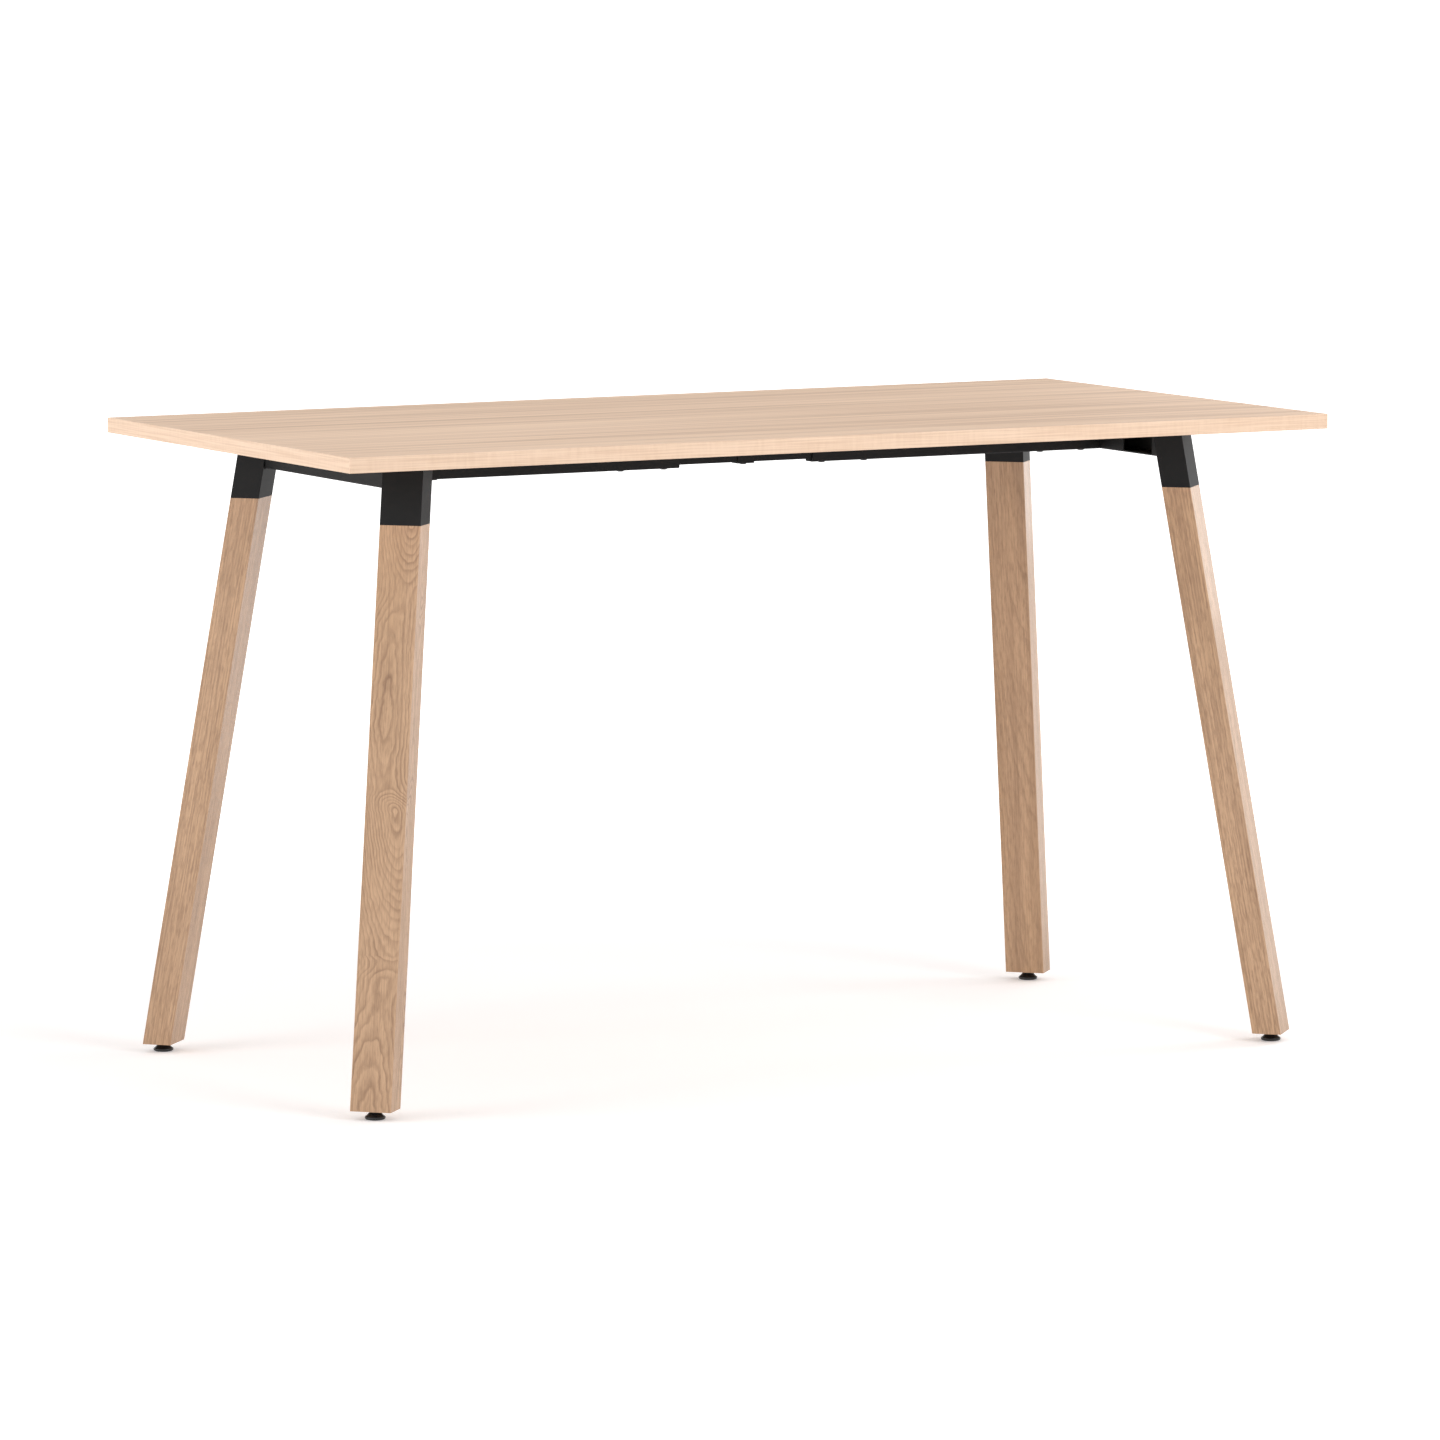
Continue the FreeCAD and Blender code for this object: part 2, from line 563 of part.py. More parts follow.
def build_blank(side, row):
    """The outer form of a socket, which a crossbar is cut to fit, in the frame of the crossbar."""
    body = new_body(f"socket_blank_{row}_{side}")
    reach = "Sizes.socket_height + Sizes.overrun"
    section = new_sketch(body, "XY_Plane", leaning_base(reach))
    add_rectangle(section, "Places.leg_depth_flat", "Sizes.leg_width")
    pad(body, section, f"{reach} + Sizes.overrun", leaning=True)
    spot = ("Places.leg_x - Places.crossbar_x", f"{ROWS[row]} * Places.leg_y", "Sizes.crossbar_height / 2")
    place(body, spot, corner_turn(f"{row}_right"))
    return body


def build_crossbar(side):
    """A tube between two sockets, with an access window by each and holes for the wood screws."""
    tube = new_body(f"crossbar_tube_{side}")
    section = new_sketch(tube, "XZ_Plane")
    walls = "2 * Sizes.crossbar_wall"
    add_rectangle(section, "Sizes.crossbar_width", "Sizes.crossbar_height")
    add_rectangle(section, f"Sizes.crossbar_width - {walls}", f"Sizes.crossbar_height - {walls}")
    shell = pad(tube, section, "2 * Places.crossbar_half", both_ways=True)
    round_long_edges(tube, shell, "Sizes.crossbar_round", (0, 1, 0))
    for row in ROWS.values():
        window = new_sketch(tube, "YZ_Plane", (f"{row} * Places.window_y", "0", "0"))
        add_rectangle(window, "Sizes.window_width", f"Sizes.crossbar_height - {walls}")
        pocket(tube, window, "Sizes.crossbar_width / 2 + Sizes.overrun")
    screw_hole = "Sizes.top_screw_diameter + 2 * Sizes.hole_clearance"
    for diameter, forwards in (("Sizes.access_hole_diameter", False), (screw_hole, True)):
        holes = new_sketch(tube, "XY_Plane")
        for step in (-1, 0, 1):
            add_circle(holes, "0", f"{step} * Sizes.top_screw_pitch", diameter)
        pocket(tube, holes, "Sizes.crossbar_height / 2 + Sizes.overrun", forwards=forwards)
    blanks = DOC.addObject("Part::Fuse", f"socket_blanks_{side}")
    blanks.Base = build_blank(side, "front")
    blanks.Tool = build_blank(side, "back")
    node = DOC.addObject("Part::Cut", f"crossbar_{side}")
    node.Label = f"crossbar_{side}"
    node.Base = tube
    node.Tool = blanks
    height = "Places.underside - Sizes.crossbar_height / 2"
    place(node, (f"{SIDES[side]} * Places.crossbar_x", "0", height), side_turn(side))
    return node


def clamp_spots():
    """How far the clamp screws of a rail tube are from its inner end."""
    last = "Places.rail_length - Sizes.stub_clamp_margin"
    return (
        "Sizes.clamp_margin",
        "Sizes.clamp_margin + Sizes.clamp_pitch",
        f"{last} - Sizes.clamp_pitch",
        last,
    )


def build_rail_tube(row, side):
    """The outer tube of a rail, from its crossbar inwards, with holes for its clamp screws."""
    body = new_body(f"rail_tube_{row}_{side}")
    section = new_sketch(body, "YZ_Plane")
    walls = "2 * Sizes.rail_wall"
    add_rectangle(section, "Sizes.rail_width", "Sizes.rail_height")
    add_rectangle(section, f"Sizes.rail_width - {walls}", f"Sizes.rail_height - {walls}")
    shell = pad(body, section, "Places.rail_length")
    round_long_edges(body, shell, "Sizes.rail_round", (1, 0, 0))
    holes = new_sketch(body, "XY_Plane")
    for spot in clamp_spots():
        add_circle(holes, spot, "0", "Sizes.clamp_screw_diameter + 2 * Sizes.screw_clearance")
    pocket(body, holes, "Sizes.rail_height / 2 + Sizes.overrun")
    start = f"{SIDES[side]} * Sizes.rail_gap / 2"
    height = "Places.underside - Sizes.rail_height / 2"
    place(body, (start, f"{ROWS[row]} * Places.rail_y", height), side_turn(side))
    return body


def pad_bar(body, length, both_ways=False):
    """The hollow section that the sliding bars and the stubs share, with rounded corners."""
    section = new_sketch(body, "YZ_Plane")
    walls = "2 * Sizes.bar_wall"
    add_rectangle(section, "Places.bar_width", "Places.bar_height")
    add_rectangle(section, f"Places.bar_width - {walls}", f"Places.bar_height - {walls}")
    shell = pad(body, section, length, both_ways)
    round_long_edges(body, shell, "Sizes.bar_round", (1, 0, 0))


def build_stub(row, side):
    """A stub on the inner face of a crossbar, which the outer end of a rail tube slides over."""
    body = new_body(f"rail_stub_{row}_{side}")
    pad_bar(body, "Places.stub_length")
    start = f"{SIDES[side]} * (Places.crossbar_inner - Places.stub_length)"
    place(body, (start, f"{ROWS[row]} * Places.rail_y", "Places.bar_middle"), side_turn(side))
    return body


def build_sliding_bar(row):
    """The bar that joins the two tubes of a rail, tapped for the screw of its collar."""
    body = new_body(f"rail_bar_{row}")
    pad_bar(body, "Places.bar_length", both_ways=True)
    hole = new_sketch(body, "XY_Plane")
    add_circle(hole, "0", "0", "Sizes.clamp_screw_diameter + 2 * Sizes.screw_clearance")
    pocket(body, hole, "Places.bar_height / 2 + Sizes.overrun")
    place(body, ("0", f"{ROWS[row]} * Places.rail_y", "Places.bar_middle"))
    return body


def add_box_outline(sketch, across, low, high):
    """A rectangle about the sketch's upright axis, between two heights."""
    half = f"({across}) / 2"
    add_outline(sketch, [(f"-1 * {half}", low), (half, low), (half, high), (f"-1 * {half}", high)])


def build_collar(row):
    """The collar round the middle of a sliding bar, which packs the bar up to the board."""
    body = new_body(f"rail_collar_{row}")
    section = new_sketch(body, "YZ_Plane")
    floor = "-1 * Places.collar_floor"
    add_box_outline(section, "Places.collar_width", "-1 * Places.collar_height", "0")
    add_box_outline(section, "Places.collar_room", floor, "-1 * Places.collar_roof")
    sleeve = pad(body, section, "Sizes.collar_length", both_ways=True)
    round_long_edges(body, sleeve, "Sizes.collar_round", (1, 0, 0))
    hole = new_sketch(body, "XY_Plane", ("0", "0", floor))
    add_circle(hole, "0", "0", "Sizes.clamp_screw_diameter + 2 * Sizes.hole_clearance")
    pocket(body, hole, "Sizes.collar_wall + Sizes.overrun")
    place(body, ("0", f"{ROWS[row]} * Places.rail_y", "Places.underside"))
    return body


def build_clamp_screws():
    """The screws under the rail tubes, which press the bars and the stubs up."""
    master = build_screw("clamp_screw_master", "clamp_screw", "Places.clamp_reach")
    seat = "Places.rail_bottom - Sizes.clamp_screw_head_height"
    spots = [
        (f"{side} * (Sizes.rail_gap / 2 + {spot})", f"{row} * Places.rail_y", seat)
        for side in SIDES.values()
        for row in ROWS.values()
        for spot in clamp_spots()
    ]
    return group("rail_clamp_screws", master, spots)


def build_collar_screws():
    """The screw that holds each collar to its sliding bar."""
    master = build_screw("collar_screw_master", "clamp_screw", "Sizes.collar_screw_length")
    seat = "Places.collar_bottom - Sizes.clamp_screw_head_height"
    spots = [("0", f"{row} * Places.rail_y", seat) for row in ROWS.values()]
    return group("rail_collar_screws", master, spots)


def build_top_screws():
    """The wood screws that hold the frame to the board: three in each crossbar, two in each socket."""
    master = build_screw("top_screw_master", "top_screw", "Places.top_screw_length")
    return group("top_fixing_screws", master, crossbar_screw_spots() + cap_screw_spots())


def group_on_bolt_lines(label, master, before):
    """One node with a copy of a piece on each leg bolt's line, its base at a distance before the axis."""
    out, up = bolt_line(before)
    spots = [corner_spot(corner, out, "0", up) for corner in CORNERS]
    turns = [corner_turn(corner) for corner in CORNERS]
    return group(label, master, spots, turns, QUARTER_TURN - value("Sizes.splay_angle"))


def build_leg_fixings():
    """The bolt, washer and insert nut that hold each leg in its socket."""
    bolt = build_screw("leg_bolt_master", "leg_bolt", "Sizes.leg_bolt_length")
    washer_bore = "Sizes.leg_bolt_diameter + 2 * Sizes.hole_clearance"
    washer = build_ring("washer_master", "Sizes.washer_diameter", washer_bore, "Sizes.washer_thickness")
    nut_bore = "Sizes.leg_bolt_diameter + 2 * Sizes.screw_clearance"
    nut = build_ring("leg_nut_master", "Sizes.leg_nut_diameter", nut_bore, "Sizes.leg_nut_length")
    return [
        group_on_bolt_lines("leg_bolts", bolt, "Places.bolt_start"),
        group_on_bolt_lines("leg_bolt_washers", washer, "Places.washer_start"),
        group_on_bolt_lines("leg_insert_nuts", nut, "Places.nut_start"),
    ]


def build_foot_nuts():
    """The insert nuts in the bottom of the legs, which the foot studs screw into."""
    bore = "Sizes.stud_diameter + 2 * Sizes.running_clearance"
    master = build_ring("foot_nut_master", "Sizes.foot_nut_diameter", bore, "Sizes.foot_nut_length")
    return group("foot_insert_nuts", master, [foot_spot(corner, "Places.leg_bottom") for corner in CORNERS])


def build_stud(corner):
    """The stud of a foot: a head held in the pad, a neck, a hexagon for a spanner and a threaded end."""
    body = new_body(f"foot_stud_{corner}")
    head = "Sizes.stud_head_diameter / 2"
    neck = "Sizes.stud_neck_diameter / 2"
    thread = "Sizes.stud_diameter / 2"
    end = "Places.stud_hex_high + Sizes.stud_reach"
    revolve(
        body,
        (
            ("0", "Places.stud_head_low"),
            (head, "Places.stud_head_low"),
            (head, "Places.stud_head_high"),
            (neck, "Places.stud_head_high"),
            (neck, "Places.stud_hex_low"),
            (thread, "Places.stud_hex_low"),
            (thread, f"{end} - Sizes.seat_clearance"),
            (f"{thread} - Sizes.seat_clearance", end),
            ("0", end),
        ),
    )
    add_prism(body, "Additive", "Sizes.stud_hex", "Sizes.stud_hex_height", "Places.stud_hex_low")
    place_at_foot(body, corner)
    return body


def build_foot_pad(corner):
    """The conical pad of a foot, hollow for the stud's head and recessed for the sole."""
    body = new_body(f"foot_pad_{corner}")
    bore = "Sizes.stud_neck_diameter / 2 + Sizes.seat_clearance"
    room = "Sizes.stud_head_diameter / 2 + Sizes.seat_clearance"
    room_top = "Places.stud_head_high + Sizes.seat_clearance"
    recess = "Sizes.sole_diameter / 2 + Sizes.screw_clearance"
    rim = "Places.pad_base_radius + Sizes.pad_flare"
    top = "Sizes.pad_top_diameter / 2"
    turned = revolve(
        body,
        (
            (recess, "Sizes.sole_proud"),
            ("Places.pad_base_radius", "Sizes.sole_proud"),
            (rim, "Places.pad_rim_low"),
            (rim, "Places.pad_rim_high"),
            (top, "Places.pad_top"),
            (bore, "Places.pad_top"),
            (bore, room_top),
            (room, room_top),
            (room, "Sizes.sole_thickness"),
            (recess, "Sizes.sole_thickness"),
        ),
    )
    least_radius = value(top) * PARALLEL_SHARE
    least_height = value("Places.pad_rim_low") * PARALLEL_SHARE
    round_edges(
        body,
        turned,
        "min(Sizes.pad_round; Sizes.pad_rim_height / 3)",
        lambda edge: edge.Closed and edge.Curve.Radius > least_radius and edge.BoundBox.ZMin > least_height,
    )
    place_at_foot(body, corner)
    return body


def build_sole(corner):
    """The rubber sole that closes the pad and stands on the floor."""
    body = new_body(f"foot_sole_{corner}")
    disc = new_sketch(body, "XY_Plane")
    add_circle(disc, "0", "0", "Sizes.sole_diameter")
    pad(body, disc, "Sizes.sole_thickness")
    place_at_foot(body, corner)
    return body


def build_nodes():
    """Every sub-part of the table, in the order in which it is put together."""
    nodes = [build_board(), *build_edge_bands()]
    nodes += [build_crossbar(side) for side in SIDES]
    for builder in (build_socket, build_cap, build_leg):
        nodes += [builder(corner) for corner in CORNERS]
    for builder in (build_stub, build_rail_tube):
        nodes += [builder(row, side) for row in ROWS for side in SIDES]
    for builder in (build_sliding_bar, build_collar):
        nodes += [builder(row) for row in ROWS]
    nodes += [build_collar_screws(), build_clamp_screws(), build_top_screws()]
    nodes += build_leg_fixings()
    nodes.append(build_foot_nuts())
    for builder in (build_stud, build_foot_pad, build_sole):
        nodes += [builder(corner) for corner in CORNERS]
    return nodes


def check_document(nodes):
    """Stops if any object failed or any sub-part is not sound."""
    for item in DOC.Objects:
        if {"Invalid", "Error"} & set(item.State):
            raise RuntimeError(f"{item.Label} failed: {item.State}")
    for node in nodes:
        if node.Shape.isNull() or not node.Shape.isValid() or not node.Shape.Solids:
            raise RuntimeError(f"{node.Label} is not a sound solid")


def write_nodes(nodes):
    """Writes each sub-part to its own file."""
    os.makedirs("parts", exist_ok=True)
    for node in nodes:
        node.Shape.exportStep(f"parts/{node.Label}.step")
        print(node.Label, len(node.Shape.Solids), round(node.Shape.Volume))


fill_sheet("Sizes", SIZES)
SHEET = fill_sheet("Places", PLACES)
NODES = build_nodes()
DOC.recompute()
check_document(NODES)
write_nodes(NODES)
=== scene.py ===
"""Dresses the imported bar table: laminate top, oak legs, powder-coated frame and levelling feet."""

import json
import logging
import math
from dataclasses import dataclass
from enum import Enum

import bpy
from mathutils import Matrix, Vector


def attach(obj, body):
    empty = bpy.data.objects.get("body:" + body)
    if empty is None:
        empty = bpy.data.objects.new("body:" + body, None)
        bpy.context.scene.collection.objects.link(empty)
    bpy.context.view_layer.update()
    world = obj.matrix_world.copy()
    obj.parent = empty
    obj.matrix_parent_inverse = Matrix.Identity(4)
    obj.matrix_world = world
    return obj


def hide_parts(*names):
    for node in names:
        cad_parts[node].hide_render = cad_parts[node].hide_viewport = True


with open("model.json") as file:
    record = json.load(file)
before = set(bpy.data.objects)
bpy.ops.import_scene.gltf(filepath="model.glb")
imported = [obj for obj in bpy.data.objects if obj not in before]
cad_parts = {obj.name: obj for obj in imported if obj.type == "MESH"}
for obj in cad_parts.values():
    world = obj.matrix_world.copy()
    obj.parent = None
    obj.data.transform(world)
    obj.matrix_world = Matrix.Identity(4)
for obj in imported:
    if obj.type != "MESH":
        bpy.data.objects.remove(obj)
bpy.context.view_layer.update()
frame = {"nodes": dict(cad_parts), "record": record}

MM = 0.001
WHITE = (1, 1, 1, 1)
LOG = logging.getLogger("bar_table")

Material = bpy.types.Material
Piece = bpy.types.Object
Socket = bpy.types.NodeSocket
Feed = Socket | float | tuple[float, ...]
Feeds = dict[str | int, Feed]
Colour = tuple[float, float, float]
Place = tuple[float, float, float]
Pair = tuple[float, float]
Pairs = tuple[Pair, ...]


class Corner(Enum):
    """A corner of the table: its name in the CAD and its side of X and of Y."""

    FRONT_LEFT = ("front_left", -1, -1)
    FRONT_RIGHT = ("front_right", 1, -1)
    BACK_LEFT = ("back_left", -1, 1)
    BACK_RIGHT = ("back_right", 1, 1)

    def __init__(self, label: str, side_x: int, side_y: int) -> None:
        """Keeps the corner's name and signs.

        Args:
            label: the end of its nodes' names.
            side_x: 1 on the right and -1 on the left.
            side_y: 1 at the back and -1 at the front.
        """
        self.label = label
        self.side_x = side_x
        self.side_y = side_y

    @property
    def outwards(self) -> Vector:
        """The level direction from the middle of the table out over this corner's diagonal."""
        return Vector((self.side_x, self.side_y, 0)).normalized()


class BandRun(Enum):
    """The way a strip of edge band runs, as the waves of its streaks in each metre."""

    ALONG_X = (6.0, 60.0, 420.0)
    ALONG_Y = (60.0, 6.0, 420.0)


class Ease(Enum):
    """How a ramp runs from stop to stop."""

    STRAIGHT = "LINEAR"
    SOFT = "EASE"
    CURVED = "CARDINAL"


@dataclass(frozen=True)
class Grain:
    """A noise pattern: its waves in each metre of X, Y and Z, its octaves, and how far it bends itself."""

    waves: Place
    octaves: float = 2.0
    twist: float = 0.0


@dataclass(frozen=True)
class Relief:
    """How deep a pattern cuts into a surface, in metres, and how strongly that shows."""

    depth: float
    strength: float


class Graph:
    """Writes the shader nodes of one material, or of the world."""

    def __init__(self, owner: Material | bpy.types.World) -> None:
        """Starts with no nodes.

        Args:
            owner: what the nodes belong to.
        """
        owner.use_nodes = True
        self.owner = owner
        self.nodes = owner.node_tree.nodes
        self.links = owner.node_tree.links
        self.nodes.clear()

    @classmethod
    def material(cls, name: str) -> "Graph":
        """The nodes of a new material."""
        return cls(bpy.data.materials.new(name))

    def add(self, kind: str, feeds: Feeds | None = None, **settings: object) -> bpy.types.Node:
        """Adds a node and feeds its sockets.

        Args:
            kind: the node's type.
            feeds: a value or another node's output for each named socket.
            settings: the node's own properties.

        Returns:
            The new node.
        """
        node = self.nodes.new(kind)
        for key, value in settings.items():
            setattr(node, key, value)
        for key, value in (feeds or {}).items():
            self.feed(node.inputs[key], value)
        return node

    def feed(self, socket: Socket, value: Feed) -> None:
        """Feeds one socket.

        Args:
            socket: where it goes.
            value: a value or another node's output.
        """
        if isinstance(value, Socket):
            self.links.new(value, socket)
        else:
            socket.default_value = value

    def place(self) -> Socket:
        """The point on the piece, in the table's own frame."""
        return self.add("ShaderNodeTexCoord").outputs["Object"]

    def split(self, point: Socket) -> tuple[Socket, ...]:
        """The three coordinates of a point."""
        return tuple(self.add("ShaderNodeSeparateXYZ", {0: point}).outputs)

    def calc(self, operation: str, *values: Feed) -> Socket:
        """The result of one Math operation on its inputs in order."""
        return self.add("ShaderNodeMath", dict(enumerate(values)), operation=operation).outputs[0]

    def noise(self, point: Socket, scale: float, octaves: float = 2.0, twist: float = 0.0) -> Socket:
        """Soft noise from 0 to 1 about one half, of a scale in waves for each unit of the point."""
        feeds = {"Vector": point, "Scale": scale, "Detail": octaves, "Distortion": twist}
        return self.add("ShaderNodeTexNoise", feeds).outputs[0]

    def pattern(self, point: Socket, grain: Grain) -> Socket:
        """Noise that runs longer one way than another."""
        stretched = self.add("ShaderNodeMapping", {"Vector": point, "Scale": grain.waves}).outputs[0]
        return self.noise(stretched, 1.0, grain.octaves, grain.twist)

    def swing(self, value: Socket, reach: float, middle: float = 0.0) -> Socket:
        """Noise about one half turned into a swing about a middle, of this reach each way."""
        return self.calc("MULTIPLY_ADD", value, 2 * reach, middle - reach)

    def weigh(self, first: Socket, second: Socket, share: float) -> Socket:
        """Two values added up, with this share of the second."""
        return self.calc("MULTIPLY_ADD", first, 1 - share, self.calc("MULTIPLY", second, share))

    def ramp(self, value: Socket, stops: Pairs, ease: Ease = Ease.STRAIGHT) -> Socket:
        """Reads a value off a curve.

        Args:
            value: where the curve is read.
            stops: the curve's points, each a position and a level from 0 to 1.
            ease: how it runs between them.

        Returns:
            The curve's level.
        """
        node = self.add("ShaderNodeValToRGB", {0: value})
        node.color_ramp.interpolation = ease.value
        points = node.color_ramp.elements
        while len(points) < len(stops):
            points.new(0.5)
        for point, (position, level) in zip(points, stops):
            point.position = position
            point.color = (level, level, level, 1)
        return node.outputs[0]

    def blend(self, share: Feed, first: Socket | Colour, second: Socket | Colour) -> Socket:
        """Blends two colours.

        Args:
            share: how much of the second colour.
            first: the colour underneath.
            second: the colour on top.

        Returns:
            The blended colour.
        """
        node = self.add("ShaderNodeMix", {0: share}, data_type="RGBA")
        under, over = (socket for socket in node.inputs if socket.type == "RGBA")
        for socket, colour in ((under, first), (over, second)):
            self.feed(socket, colour if isinstance(colour, Socket) else (*colour, 1))
        return next(socket for socket in node.outputs if socket.type == "RGBA")

    def bump(self, height: Socket, relief: Relief) -> Socket:
        """The surface's direction, roughened by a height map."""
        feeds = {"Height": height, "Distance": relief.depth, "Strength": relief.strength}
        return self.add("ShaderNodeBump", feeds).outputs[0]

    def finish(self, feeds: Feeds) -> Material:
        """Ends the material in one surface shader.

        Args:
            feeds: what goes into the shader's sockets.

        Returns:
            The finished material.
        """
        shader = self.add("ShaderNodeBsdfPrincipled", feeds)
        self.add("ShaderNodeOutputMaterial", {"Surface": shader.outputs[0]})
        return self.owner


@dataclass(frozen=True)
class LaminateFinish:
    """A satin wood-grain laminate with long soft streaks along the top."""

    pale: Colour = (0.9, 0.67, 0.5)
    deep: Colour = (0.67, 0.475, 0.345)
    pore: Colour = (0.52, 0.36, 0.25)
    broad: Grain = Grain((0.6, 13.0, 1.0), 3.0, 0.3)
    streak: Grain = Grain((1.0, 48.0, 1.0), 3.0, 0.2)
    fibre: Grain = Grain((5.0, 420.0, 40.0))
    streak_share: float = 0.58
    tone: Pairs = ((0.38, 0.0), (0.5, 0.4), (0.62, 1.0))
    pore_tone: Pairs = ((0.6, 0.0), (0.74, 1.0))
    pore_share: float = 0.28
    roughness: float = 0.56
    roughness_swing: float = 0.06
    gloss: float = 0.04
    relief: Relief = Relief(0.06 * MM, 0.4)

    def make(self) -> Material:
        """Writes the material.

        Returns:
            The material.
        """
        graph = Graph.material("top_decor")
        point = graph.place()
        broad = graph.pattern(point, self.broad)
        streak = graph.pattern(point, self.streak)
        fibre = graph.pattern(point, self.fibre)
        shade = graph.ramp(graph.weigh(broad, streak, self.streak_share), self.tone, Ease.SOFT)
        pores = graph.ramp(fibre, self.pore_tone)
        colour = graph.blend(shade, self.pale, self.deep)
        return graph.finish({
            "Base Color": graph.blend(graph.calc("MULTIPLY", pores, self.pore_share), colour, self.pore),
            "Roughness": graph.swing(fibre, self.roughness_swing, self.roughness),
            "Specular IOR Level": self.gloss,
            "Normal": graph.bump(graph.calc("SUBTRACT", 1.0, pores), self.relief),
        })


@dataclass(frozen=True)
class BandFinish:
    """A pale matt edge band with fine streaks along its run."""

    run: BandRun
    pale: Colour = (0.87, 0.645, 0.475)
    deep: Colour = (0.74, 0.52, 0.365)
    streak_octaves: float = 3.0
    tick: Grain = Grain((190.0, 190.0, 30.0), 3.0)
    tick_share: float = 0.2
    tone: Pairs = ((0.36, 0.0), (0.68, 1.0))
    roughness: float = 0.5
    roughness_swing: float = 0.07
    relief: Relief = Relief(0.05 * MM, 0.35)

    def make(self) -> Material:
        """Writes the material.

        Returns:
            The material.
        """
        graph = Graph.material(f"edge_band_{self.run.name.lower()}")
        point = graph.place()
        streak = graph.pattern(point, Grain(self.run.value, self.streak_octaves))
        tick = graph.pattern(point, self.tick)
        shade = graph.ramp(graph.weigh(streak, tick, self.tick_share), self.tone, Ease.SOFT)
        return graph.finish({
            "Base Color": graph.blend(shade, self.pale, self.deep),
            "Roughness": graph.swing(streak, self.roughness_swing, self.roughness),
            "Normal": graph.bump(streak, self.relief),
        })


